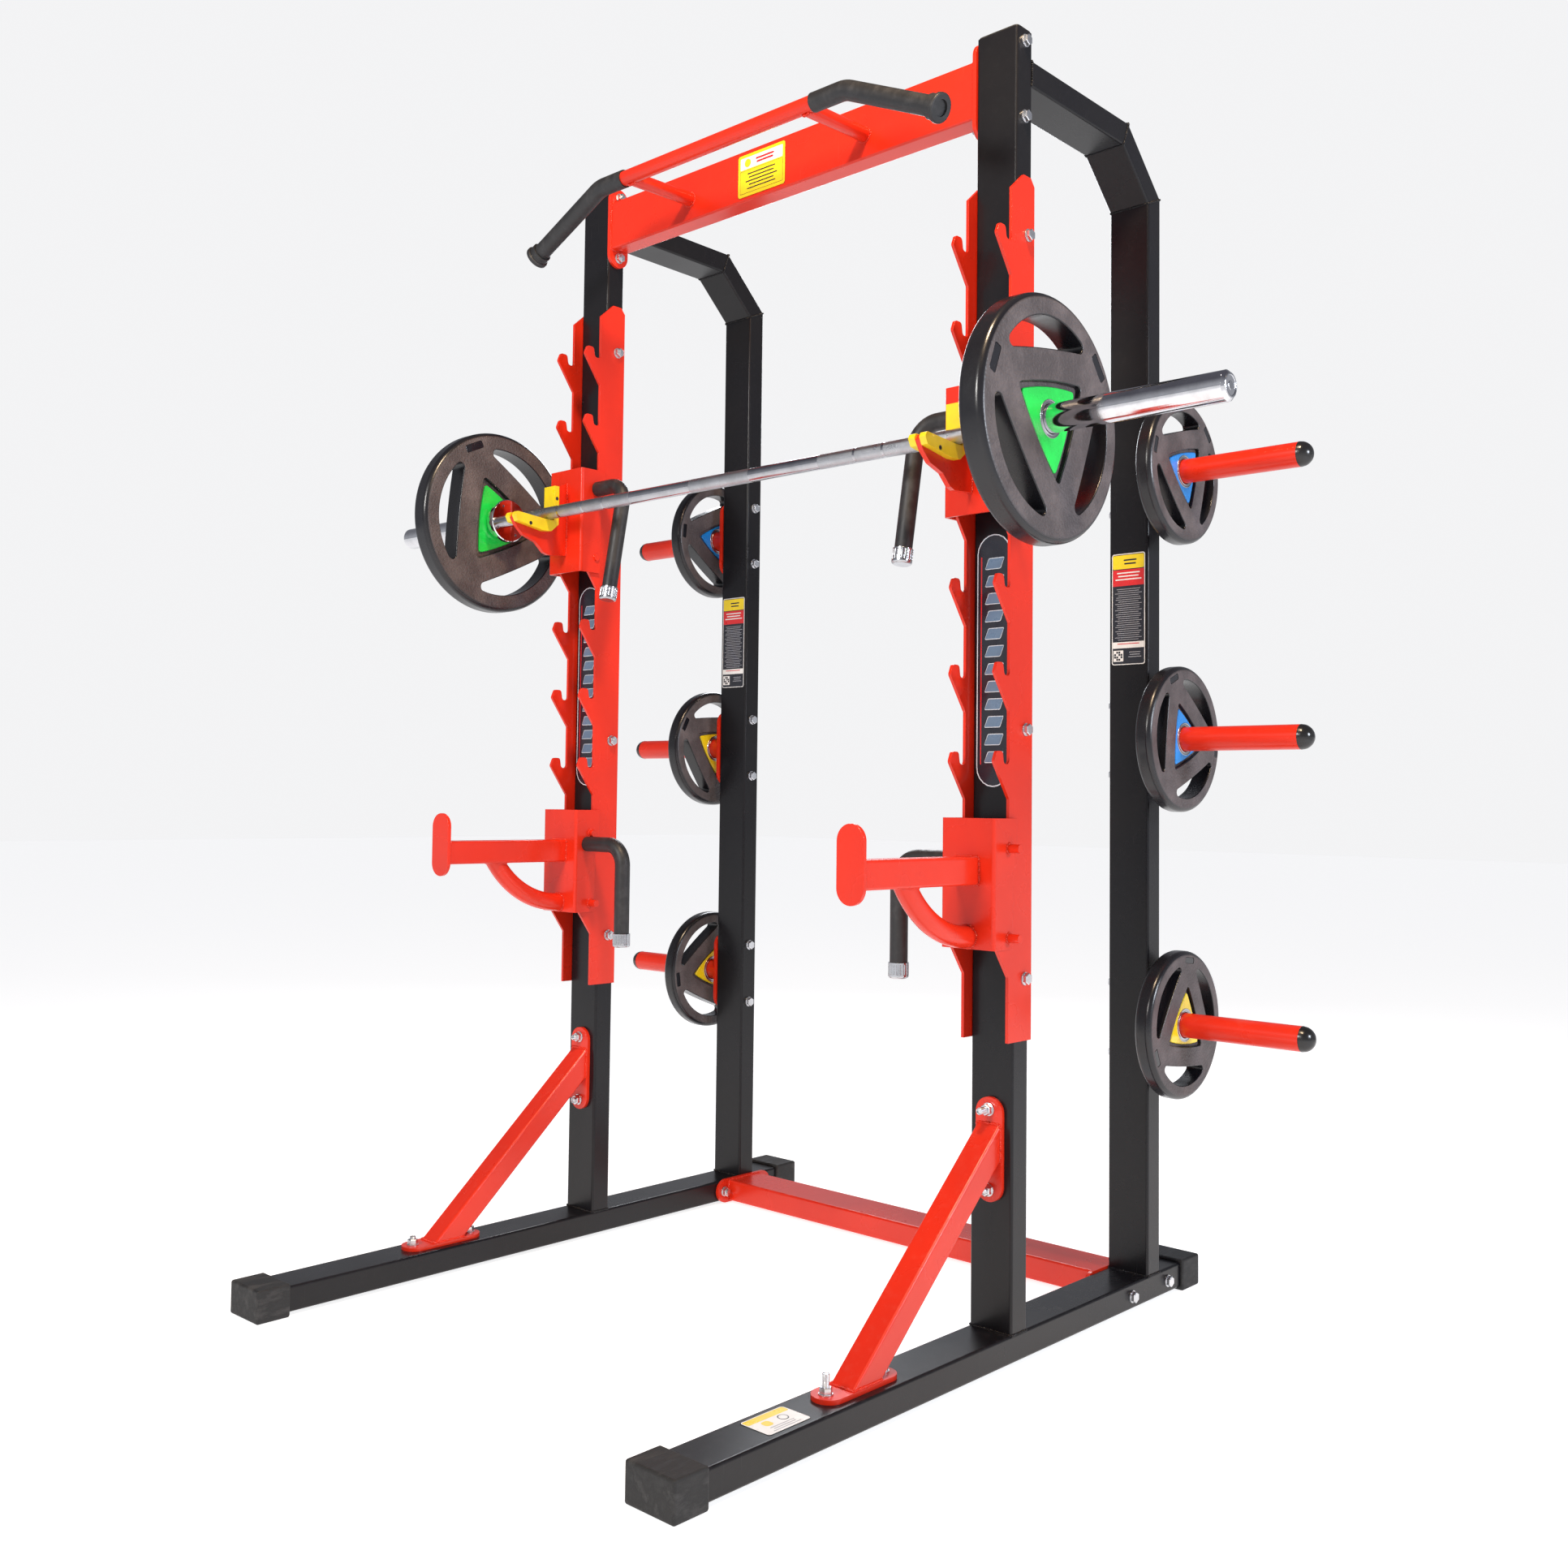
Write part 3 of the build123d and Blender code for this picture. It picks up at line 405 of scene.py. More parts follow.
def makeFinishes():
    for name in paintSettings:
        finishes[name] = makePaint(name)
    for name in rubberSettings:
        finishes[name] = makeRubber(name)
    finishes["plateRubber"] = makePlateRubber()
    for name, colour in insertColours.items():
        finishes[name] = makeGloss(name, colour)
    finishes["yellowNylon"] = makeGloss("yellowNylon", (0.86, 0.64, 0.008, 1), 0.34, 0.22)
    finishes["vinylBlack"] = makeGloss("vinylBlack", (0.006, 0.006, 0.010, 1), 0.20, 0.10)
    for name, values in steelSettings.items():
        finishes[name] = makeSteel(name, **values)
    for name, colour in filmColours.items():
        finishes[name] = makeGloss(name, colour, 0.26, 0.10)


nodeFinishes = {
    "blackPaint": ["base_rails", "front_uprights", "rear_uprights", "top_arms", "corner_slopes"],
    "redPaint": [
        "top_beam", "rear_crossmember", "pull_up_bar", "front_braces", "storage_pegs", "notched_plate_",
        "bar_hook_bracket_", "bar_hook_plate_", "safety_bracket_", "safety_arm_",
    ],
    "footRubber": ["rubber_feet"],
    "gripRubber": ["pull_up_grips", "pull_up_end_caps", "bar_hook_grip_", "safety_grip_"],
    "ballPlastic": ["peg_end_balls"],
    "vinylBlack": ["upright_strips", "info_panels"],
    "zinc": ["hex_bolts", "hex_nuts"],
    "yellowNylon": ["bar_hook_liner_"],
    "satinChrome": ["bar_hook_knob_", "safety_knob_"],
    "turnedChrome": ["bar_sleeve_"],
    "shaftChrome": ["bar_shaft"],
    "plateRubber": ["bar_plate_", "store_plate_"],
    "insertGreen": ["bar_insert_"],
    "insertBlue": ["store_insert_left_top", "store_insert_right_top", "store_insert_right_middle"],
    "insertYellow": ["store_insert_left_middle", "store_insert_left_bottom", "store_insert_right_bottom"],
}


def dressFrame():
    dressed = set()
    for finish, names in nodeFinishes.items():
        for node, thing in nodes.items():
            if any(node == name or (name.endswith("_") and node.startswith(name)) for name in names):
                thing.data.materials.clear()
                thing.data.materials.append(finishes[finish])
                dressed.add(node)
    missing = sorted(set(nodes) - dressed)
    print("frame dressed, without a finish:", missing)


def linkPiece(name, mesh, finish, body, smooth=True):
    mesh.name = name
    mesh.materials.clear()
    mesh.materials.append(finishes[finish])
    mesh.polygons.foreach_set("use_smooth", [smooth] * len(mesh.polygons))
    piece = bpy.data.objects.new(name, mesh)
    bpy.context.scene.collection.objects.link(piece)
    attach(piece, body)
    return piece


def meshFrom(points, faces):
    # a mesh with doubled points merged and its faces turned outwards
    mesh = bpy.data.meshes.new("work")
    mesh.from_pydata(points, [], faces)
    work = bmesh.new()
    work.from_mesh(mesh)
    bmesh.ops.remove_doubles(work, verts=work.verts, dist=1e-6)
    bmesh.ops.recalc_face_normals(work, faces=work.faces)
    work.to_mesh(mesh)
    work.free()
    return mesh


def turnedRings(profiles, centre, along, count=72):
    # closed outlines of (distance along, radius), turned about an axis through centre
    axis = Vector(along).normalized()
    first = axis.orthogonal().normalized()
    second = axis.cross(first)
    points, faces = [], []
    for profile in profiles:
        base = len(points)
        size = len(profile)
        for k in range(count):
            turn = 2 * math.pi * k / count
            spoke = first * math.cos(turn) + second * math.sin(turn)
            points += [Vector(centre) + axis * distance + spoke * radius for distance, radius in profile]
        for k in range(count):
            for i in range(size):
                a, b = base + k * size + i, base + k * size + (i + 1) % size
                c, d = base + (k + 1) % count * size + (i + 1) % size, base + (k + 1) % count * size + i
                faces.append((a, b, c, d))
    return points, faces


def joinShapes(shapes):
    points, faces = [], []
    for morePoints, moreFaces in shapes:
        base = len(points)
        points += morePoints
        faces += [tuple(i + base for i in face) for face in moreFaces]
    return points, faces


def sectionLoop(centre, first, second, halfFirst, halfSecond, corner=0.004, steps=4):
    # the outline of a tube's section, with rounded corners
    first, second, loop = Vector(first).normalized(), Vector(second).normalized(), []
    for quarter in range(4):
        signA, signB = ((1, 1), (-1, 1), (-1, -1), (1, -1))[quarter]
        for k in range(steps + 1):
            turn = math.pi / 2 * (quarter + k / steps)
            u = signA * (halfFirst - corner) + corner * math.cos(turn)
            v = signB * (halfSecond - corner) + corner * math.sin(turn)
            loop.append(Vector(centre) + first * u + second * v)
    return loop


def ringLoop(centre, first, second, radiusA, radiusB=None, steps=28):
    radiusB = radiusB or radiusA
    loop = []
    for k in range(steps):
        turn = 2 * math.pi * k / steps
        across = Vector(first) * radiusA * math.cos(turn)
        upward = Vector(second) * radiusB * math.sin(turn)
        loop.append(Vector(centre) + across + upward)
    return loop


def addSocket(group, name, kind, default=None, way="INPUT"):
    socket = group.interface.new_socket(name=name, in_out=way, socket_type=kind)
    if default is not None:
        socket.default_value = default
    return socket


def makeRunTree():
    # sets copies of one part along paths of edges, evenly spaced and a little uneven in size
    group = bpy.data.node_groups.new("partsAlongPaths", "GeometryNodeTree")
    addSocket(group, "Paths", "NodeSocketGeometry")
    addSocket(group, "Part", "NodeSocketObject")
    addSocket(group, "Spacing", "NodeSocketFloat", 0.003)
    addSocket(group, "Smallest", "NodeSocketFloat", 0.8)
    addSocket(group, "Largest", "NodeSocketFloat", 1.2)
    addSocket(group, "Seed", "NodeSocketInt", 1)
    addSocket(group, "Finish", "NodeSocketMaterial")
    addSocket(group, "Geometry", "NodeSocketGeometry", way="OUTPUT")
    given = addNode(group, "NodeGroupInput").outputs
    curve = addNode(group, "GeometryNodeMeshToCurve", {"Mesh": given["Paths"]}).outputs["Curve"]
    sockets = {"Curve": curve, "Length": given["Spacing"]}
    evened = addNode(group, "GeometryNodeResampleCurve", sockets, mode="LENGTH")
    tangent = addNode(group, "GeometryNodeInputTangent").outputs["Tangent"]
    turned = addNode(group, "FunctionNodeAlignRotationToVector", {"Vector": tangent}, axis="Z")
    part = addNode(group, "GeometryNodeObjectInfo", {"Object": given["Part"]}).outputs["Geometry"]
    size = addNode(group, "FunctionNodeRandomValue", None, data_type="FLOAT")
    for key, source in ((2, "Smallest"), (3, "Largest"), (8, "Seed")):
        group.links.new(given[source], size.inputs[key])
    placed = addNode(group, "GeometryNodeInstanceOnPoints", {
        "Points": evened.outputs["Curve"], "Instance": part,
        "Rotation": turned.outputs["Rotation"], "Scale": size.outputs[1],
    })
    real = addNode(group, "GeometryNodeRealizeInstances", {"Geometry": placed.outputs["Instances"]})
    painted = addNode(group, "GeometryNodeSetMaterial", {
        "Geometry": real.outputs["Geometry"], "Material": given["Finish"],
    })
    done = addNode(group, "NodeGroupOutput")
    group.links.new(painted.outputs["Geometry"], done.inputs["Geometry"])
    return group


def runParts(name, group, part, paths, finish, body, slot, closed, **values):
    # the tree's result as a plain mesh on one body
    points, edges = [], []
    for path in paths:
        base, size = len(points), len(path)
        points += path
        edges += [(base + i, base + i + 1) for i in range(size - 1)]
        if closed:
            edges.append((base + size - 1, base))
    guide = bpy.data.meshes.new("guide")
    guide.from_pydata(points, edges, [])
    holder = bpy.data.objects.new("guide", guide)
    bpy.context.scene.collection.objects.link(holder)
    modifier = holder.modifiers.new("run", "NODES")
    modifier.node_group = group
    values.update(Part=part, Finish=finishes[finish])
    for socket in group.interface.items_tree:
        if socket.in_out == "INPUT" and socket.name in values:
            modifier[socket.identifier] = values[socket.name]
    graph = bpy.context.evaluated_depsgraph_get()
    mesh = bpy.data.meshes.new_from_object(holder.evaluated_get(graph), depsgraph=graph)
    holder.modifiers.remove(modifier)
    bpy.data.objects.remove(holder)
    linkPiece(name, mesh, finish, body)
    print(name, len(mesh.polygons), "faces")


def makePart(name, points, faces):
    # a small part that a tree copies; it stays out of the scene itself
    mesh = meshFrom(points, faces)
    mesh.name = name
    mesh.polygons.foreach_set("use_smooth", [True] * len(mesh.polygons))
    return bpy.data.objects.new(name, mesh)


tubeSettings = {
    "wide": 0.090,
    "deep": 0.050,
    "front": 0.097,  # middle of the front uprights, front to back
    "rear": 0.587,
    "side": 0.569,  # middle of a side frame
    "railTop": 0.057,
}

weldSettings = {
    "bead": (0.0030, 0.0021),  # half width of a bead, and half its length along the run
    "spacing": 0.0034,
    "smallest": 0.72,
    "largest": 1.15,
    "seed": 7,
    "beamHalf": (0.025, 0.056),
    "beamEnd": 0.516,
    "beamZ": 2.357,
    "crossY": 0.572,
    "crossZ": 0.032,
    "pegRing": 0.0247,
    "pegFace": 0.622,
    "strut": (0.250, 0.0152, 2.349),  # place across, radius and height on the beam
    "strutLift": 0.004,
    "pullBar": (-0.106, 2.348, 0.0162),
    "braceHalf": 0.0252,
    "braceHigh": (0.0635, 0.3612, 0.428),
    "braceLow": (0.0655, -0.3463, -0.2708),
}


def spot(x, y, z):
    # a place in the frame, in metres
    return Vector((x, y, z))


def blackWelds():
    # every tube joint of the two side frames
    t = tubeSettings
    halfWide, halfDeep = t["wide"] / 2, t["deep"] / 2
    arms, slopes, rear = (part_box(n) for n in ("top_arms", "corner_slopes", "rear_uprights"))
    loops = []
    for side in sides.values():
        x = side * t["side"]
        for y in (t["front"], t["rear"]):
            loops.append(sectionLoop((x, y, t["railTop"]), (1, 0, 0), (0, 1, 0), halfWide, halfDeep))
        armMiddle = (x, arms[0][1], (arms[0][2] + arms[1][2]) / 2)
        loops.append(sectionLoop(armMiddle, (1, 0, 0), (0, 0, 1), halfWide, halfDeep))
        mitres = (
            (spot(x, arms[1][1], arms[1][2]), spot(x, slopes[0][1], arms[0][2])),
            (spot(x, rear[1][1], rear[1][2]), spot(x, rear[0][1], slopes[0][2])),
        )
        for outer, inner in mitres:
            half = (outer - inner).length / 2
            loops.append(sectionLoop((outer + inner) / 2, (1, 0, 0), outer - inner, halfWide, half))
    return loops


def saddleLoop(x, steps=28):
    # where a round stay runs into the pull-up bar
    w = weldSettings
    y, z, barRadius = w["pullBar"]
    radius = w["strut"][1]
    loop = []
    for k in range(steps):
        turn = 2 * math.pi * k / steps
        drop = radius * math.sin(turn) - w["strutLift"]
        reach = math.sqrt(max(barRadius**2 - drop**2, 0.0))
        loop.append(spot(x + radius * math.cos(turn), y + reach, z + drop))
    return loop


def redWelds():
    w, t = weldSettings, tubeSettings
    loops = []
    for side in sides.values():
        end = side * w["beamEnd"]
        loops.append(sectionLoop((end, t["front"], w["beamZ"]), (0, 1, 0), (0, 0, 1), *w["beamHalf"]))
        loops.append(sectionLoop((end, w["crossY"], w["crossZ"]), (0, 0, 1), (0, 1, 0), *w["beamHalf"]))
        strutX, strutRadius, strutZ = w["strut"]
        front = t["front"] - t["deep"] / 2
        loops.append(ringLoop((side * strutX, front, strutZ), (1, 0, 0), (0, 0, 1), strutRadius))
        loops.append(saddleLoop(side * strutX))
        x = side * t["side"]
        y, low, high = w["braceHigh"]
        foot = (x, y, (low + high) / 2)
        loops.append(sectionLoop(foot, (1, 0, 0), (0, 0, 1), w["braceHalf"], (high - low) / 2))
        z, near, far = w["braceLow"]
        foot = (x, (near + far) / 2, z)
        loops.append(sectionLoop(foot, (1, 0, 0), (0, 1, 0), w["braceHalf"], (far - near) / 2))
        for height in pegHeights():
            peg = (side * w["pegFace"], t["rear"], height)
            loops.append(ringLoop(peg, (0, 1, 0), (0, 0, 1), w["pegRing"]))
    return loops


def pegHeights():
    return [middle(f"store_plate_left_{level}")[2] for level in levels]


carriageSettings = {
    "wall": 0.0575,  # middle of an upright to the outer face of a bracket
    "face": -0.0075,
    "rodY": 0.0396,
    "hookRods": (1.7242, 1.5646),
    "safeRods": (0.9262, 0.7666),
    "rodRing": 0.0086,
    "plateHalf": 0.0055,
    "plateSpan": (1.570, 1.735),
    "armZ": 0.886,
    "armHalf": 0.0252,
    "armFront": -0.330,
    "propZ": 0.768,
    "propRing": 0.0203,
    "propTop": (-0.1885, 0.861, 0.0246),
}


def rodRings(side, heights, skipInner):
    s = carriageSettings
    x = side * tubeSettings["side"]
    loops = []
    for index, z in enumerate(heights):
        for way in (1, -1):
            if way < 0 and index in skipInner:
                continue
            centre = (x + way * side * s["wall"], s["rodY"], z)
            loops.append(ringLoop(centre, (0, 1, 0), (0, 0, 1), s["rodRing"], steps=16))
    return loops


def hookWelds(side):
    s = carriageSettings
    x = side * tubeSettings["side"]
    low, high = s["plateSpan"]
    loops = rodRings(side, s["hookRods"], (0, 1))
    # the two seams of the hook plate run up one side and back down the other
    loops.append([
        spot(x - s["plateHalf"], s["face"], low), spot(x - s["plateHalf"], s["face"], high),
        spot(x + s["plateHalf"], s["face"], high), spot(x + s["plateHalf"], s["face"], low),
    ])
    return loops


def safetyWelds(side):
    s = carriageSettings
    x = side * tubeSettings["side"]
    loops = rodRings(side, s["safeRods"], ())
    for y in (s["face"], s["armFront"]):
        loops.append(sectionLoop((x, y, s["armZ"]), (1, 0, 0), (0, 0, 1), s["armHalf"], s["armHalf"]))
    loops.append(ringLoop((x, s["face"], s["propZ"]), (1, 0, 0), (0, 0, 1), s["propRing"]))
    y, z, reach = s["propTop"]
    loops.append(ringLoop((x, y, z), (1, 0, 0), (0, 1, 0), s["propRing"], reach))
    return loops


def makeWelds(group):
    w = weldSettings
    half, length = w["bead"]
    profile = [(length * math.cos(math.pi * k / 4), half * math.sin(math.pi * k / 4)) for k in range(5)]
    bead = makePart("weldBead", *turnedRings([profile], (0, 0, 0), (0, 0, 1), 8))
    values = {
        "Spacing": w["spacing"], "Smallest": w["smallest"], "Largest": w["largest"], "Seed": w["seed"],
    }
    runs = [
        ("frameWelds", blackWelds(), "blackPaint", "rack", "black_paint"),
        ("crossWelds", redWelds(), "redPaint", "rack", "red_paint"),
    ]
    for name, side in sides.items():
        runs.append((f"hookWelds_{name}", hookWelds(side), "redPaint", f"bar_hook_{name}", "red_paint"))
        runs.append((f"safetyWelds_{name}", safetyWelds(side), "redPaint", f"safety_{name}", "red_paint"))
    for name, loops, finish, body, slot in runs:
        runParts(name, group, bead, loops, finish, body, slot, True, **values)


threadSettings = {
    "pitch": 0.00175,
    "core": 0.0058,
    "crest": 0.00635,
    "shanks": [  # start, direction and length of each run of bare thread, right-hand places mirrored below
        ((0.569, 0.0495, 0.453), (0, -1, 0), 0.015),
        ((0.569, 0.0495, 0.309), (0, -1, 0), 0.003),
        ((0.569, -0.385, 0.0775), (0, 0, 1), 0.019),
        ((0.569, -0.241, 0.0775), (0, 0, 1), 0.004),
    ],
}


def threadRuns():
    # every bolt's free end stands a little out of its nut
    s = threadSettings
    runs = []
    for start, way, length in s["shanks"]:
        for side in sides.values():
            free = length if side > 0 else min(length, 0.004)
            first = Vector((side * start[0], start[1], start[2]))
            runs.append([first, first + Vector(way) * free])
    return runs


def makeThreads(group):
    s = threadSettings
    pitch, core, crest = s["pitch"], s["core"], s["crest"]
    ridge = [(0, core), (pitch * 0.42, crest), (pitch * 0.58, crest), (pitch, core)]
    ridge += [(pitch, core - 0.0006), (0, core - 0.0006)]
    part = makePart("threadRidge", *turnedRings([ridge], (0, 0, 0), (0, 0, 1), 28))
    runParts(
        "boltThreads", group, part, threadRuns(), "zinc", "rack", "zinc_steel", False,
        Spacing=pitch, Smallest=1.0, Largest=1.0, Seed=1,
    )


hubSettings = {
    "bore": 0.0258,
    "outer": 0.0334,
    "proud": 0.0009,
    "deep": 0.0016,
    "barFace": 0.0195,  # middle of the weight to the face of its bush
    "storeFace": 0.0156,
}


def hubProfile(face):
    s = hubSettings
    bore, outer = s["bore"], s["outer"]
    soft = s["proud"]
    top = face + soft
    bottom = face - s["deep"]
    floor = face + 0.0003  # the groove between the two raised edges
    lip = bore + 0.0016
    return [
        (bottom, bore), (top - soft * 0.6, bore), (top - soft * 0.2, bore + 0.0003), (top, bore + 0.0008),
        (top, lip), (floor, lip + 0.0006), (floor, outer - 0.0022), (top, outer - 0.0016),
        (top, outer - 0.0008), (top - soft * 0.3, outer - 0.0002), (top - soft, outer), (bottom, outer),
    ]


def makeHubRings():
    # a pressed steel ring round the hole in both faces of every weight
    s = hubSettings
    for node in padSettings["turns"]:
        body = node.replace("plate", "weight")
        face = s["barFace"] if node.startswith("bar") else s["storeFace"]
        centre = middle(node)
        shapes = []
        for way in (1, -1):
            shapes.append(turnedRings([hubProfile(face)], centre, (way, 0, 0)))
        mesh = meshFrom(*joinShapes(shapes))
        linkPiece(node.replace("plate", "hubRing"), mesh, "satinChrome", body, False)


padSettings = {
    "reach": 0.875,  # middle of a pad, as a share of the weight's radius
    "size": (0.085, 0.24),  # along and across a spoke, as shares of the radius
    "corner": 0.02,
    "gap": 0.0004,
    "sunk": 0.0020,
    "layers": [(0.0001, 0), (0.0011, 0), (0.0015, 0.0003), (0.0017, 0.0010)],
    "turns": {  # angle of the first spoke of each weight, in degrees
        "bar_plate_left": -5, "bar_plate_right": 39,
        "store_plate_left_top": 55, "store_plate_left_middle": 33, "store_plate_left_bottom": 68,
        "store_plate_right_top": 45, "store_plate_right_middle": -7, "store_plate_right_bottom": 84,
    },
}


def makePads():
    # a smooth glossy pad let into two spokes, on both faces of every weight
    s = padSettings
    for node, turn in s["turns"].items():
        low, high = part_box(node)
        radius, half = (high[2] - low[2]) / 2, (high[0] - low[0]) / 2
        halfAlong, halfAcross = (radius * size / 2 - s["gap"] for size in s["size"])
        shapes = []
        for spoke in (0, 1):
            angle = math.radians(turn + 120 * spoke)
            along = Vector((0, math.cos(angle), math.sin(angle)))
            across = Vector((0, -math.sin(angle), math.cos(angle)))
            for way in (1, -1):
                out = Vector((way, 0, 0))
                place = Vector(middle(node)) + along * radius * s["reach"] + out * (half - s["sunk"])
                outline = sectionLoop(place, along, across, halfAlong, halfAcross, radius * s["corner"])
                shapes.append(raisedPlate(outline, out, s["layers"]))
        mesh = meshFrom(*joinShapes(shapes))
        body = node.replace("plate", "weight")
        linkPiece(node.replace("plate", "pads"), mesh, "vinylBlack", body, False)


knurlSettings = {
    "bands": [(-0.085, 0.085), (0.268, 0.3545), (0.3595, 0.4225), (0.4275, 0.5075), (0.5125, 0.655)],
    "step": 0.0014,
    "around": 60,
    "base": 0.01402,
    "height": 0.00024,
}


def knurlShape(start, end, centre):
    # a thin sleeve of raised diamonds
    s = knurlSettings
    rows = int((end - start) / s["step"])
    points, faces = [], []
    for row in range(rows + 1):
        x = start + (end - start) * row / rows
        for k in range(s["around"]):
            raised = (row + k) % 2 and 0 < row < rows
            radius = s["base"] + (s["height"] if raised else 0.0)
            turn = 2 * math.pi * k / s["around"]
            y = centre[1] + radius * math.cos(turn)
            z = centre[2] + radius * math.sin(turn)
            points.append(Vector((x, y, z)))
    for row in range(rows):
        for k in range(s["around"]):
            a, b = row * s["around"] + k, row * s["around"] + (k + 1) % s["around"]
            c, d = b + s["around"], a + s["around"]
            faces += [(a, b, c), (a, c, d)] if (row + k) % 2 else [(a, b, d), (b, c, d)]
    return points, faces


def makeKnurls():
    centre = middle("bar_shaft")
    shapes = []
    for start, end in knurlSettings["bands"]:
        shapes.append(knurlShape(start, end, centre))
        if start > 0:
            shapes.append(knurlShape(-end, -start, centre))
    points, faces = joinShapes(shapes)
    mesh = bpy.data.meshes.new("knurls")
    mesh.from_pydata(points, [], [face[::-1] for face in faces])
    linkPiece("knurls", mesh, "knurledSteel", "barbell", False)


capSettings = {
    "radius": 0.0198,
    "proud": 0.0012,
    "plugRound": 0.008,
    "plugThick": 0.0035,
    "plugInset": 0.0006,
}


def makeSleeveCaps():
    # the pressed end of each sleeve, dished round a flat centre
    s = capSettings
    proud = s["proud"]
    profile = [
        (-0.002, 0.0), (-0.002, s["radius"]), (proud * 0.5, s["radius"]), (proud, s["radius"] - 0.0012),
        (proud, 0.0165), (-0.0012, 0.0145), (-0.0012, 0.0085), (proud * 0.6, 0.0070), (proud * 0.6, 0.0),
    ]
    for name, side in sides.items():
        node = f"bar_sleeve_{name}"
        centre = middle(node)
        centre[0] = outermost(node, 0, side)
        mesh = meshFrom(*turnedRings([profile], centre, (side, 0, 0), 64))
        linkPiece(f"sleeveCap_{name}", mesh, "satinChrome", f"sleeve_{name}", False)


def raisedPlate(outline, out, layers):
    # an outline stacked in layers of (height, inset) and closed at both ends
    size = len(outline)
    centre = sum(outline, Vector()) / size
    points, faces = [], []
    for height, inset in layers:
        for point in outline:
            inward = (centre - point).normalized() * inset
            points.append(point + inward + Vector(out) * height)
    for layer in range(len(layers) - 1):
        for k in range(size):
            a, b = layer * size + k, layer * size + (k + 1) % size
            faces.append((a, b, b + size, a + size))
    faces.append(tuple(range(size))[::-1])
    faces.append(tuple(range(size * (len(layers) - 1), size * len(layers))))
    return points, faces


def makeTubePlugs():
    # moulded plugs in the open tops of the front uprights
    s, t = capSettings, tubeSettings
    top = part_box("front_uprights")[1][2]
    shapes = []
    for side in sides.values():
        centre = (side * t["side"], t["front"], top)
        halves = (t["wide"] / 2 - s["plugInset"], t["deep"] / 2 - s["plugInset"])
        outline = sectionLoop(centre, (1, 0, 0), (0, 1, 0), *halves, s["plugRound"])
        thick = s["plugThick"]
        layers = [(0.0001, 0), (thick * 0.5, 0), (thick * 0.85, 0.0008)]
        layers += [(thick, 0.0022), (thick, 0.012), (thick * 0.8, 0.014)]
        shapes.append(raisedPlate(outline, (0, 0, 1), layers))
    linkPiece("tubePlugs", meshFrom(*joinShapes(shapes)), "footRubber", "rack", False)


screwSettings = {
    "head": 0.0042,
    "proud": 0.0007,
    "socket": 0.0021,
    "places": [(-0.0487, 1.694), (-0.1235, 1.6275)],  # (y, z) on each cheek of a liner
}


def screwShape(centre, out):
    # a button head with a six-sided socket
    s = screwSettings
    first, second = Vector((0, 1, 0)), Vector(out).cross(Vector((0, 1, 0)))
    rings = [(s["head"], 0.0), (s["head"] * 0.96, s["proud"] * 0.6), (s["head"] * 0.75, s["proud"])]
    rings += [(s["socket"], s["proud"]), (s["socket"], -0.0006), (0.0001, -0.0006)]
    points, faces = [], []
    for index, (radius, height) in enumerate(rings):
        for k in range(24):
            turn = 2 * math.pi * k / 24
            if index in (3, 4):
                sixth = math.pi / 6
                radiusNow = radius * math.cos(sixth) / math.cos((turn + sixth) % (2 * sixth) - sixth)
            else:
                radiusNow = radius
            place = first * radiusNow * math.cos(turn) + second * radiusNow * math.sin(turn)
            points.append(Vector(centre) + place + Vector(out) * height)
    for layer in range(len(rings) - 1):
        for k in range(24):
            a, b = layer * 24 + k, layer * 24 + (k + 1) % 24
            faces.append((a, b, b + 24, a + 24))
    faces.append(tuple(range(24))[::-1])
    faces.append(tuple(range(24 * (len(rings) - 1), 24 * len(rings))))
    return points, faces


def makeLinerScrews():
    for name in sides:
        node = f"bar_hook_liner_{name}"
        low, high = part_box(node)
        shapes = []
        for y, z in screwSettings["places"]:
            shapes.append(screwShape((low[0] - 0.0001, y, z), (-1, 0, 0)))
            shapes.append(screwShape((high[0] + 0.0001, y, z), (1, 0, 0)))
        mesh = meshFrom(*joinShapes(shapes))
        linkPiece(f"linerScrews_{name}", mesh, "darkSteel", f"bar_hook_{name}", False)


# every printed sheet: its middle, the directions across, up and out, and its shapes, which are
# finish, place across, place up, width, height, corner, lean and layer
printFilm = 0.00012

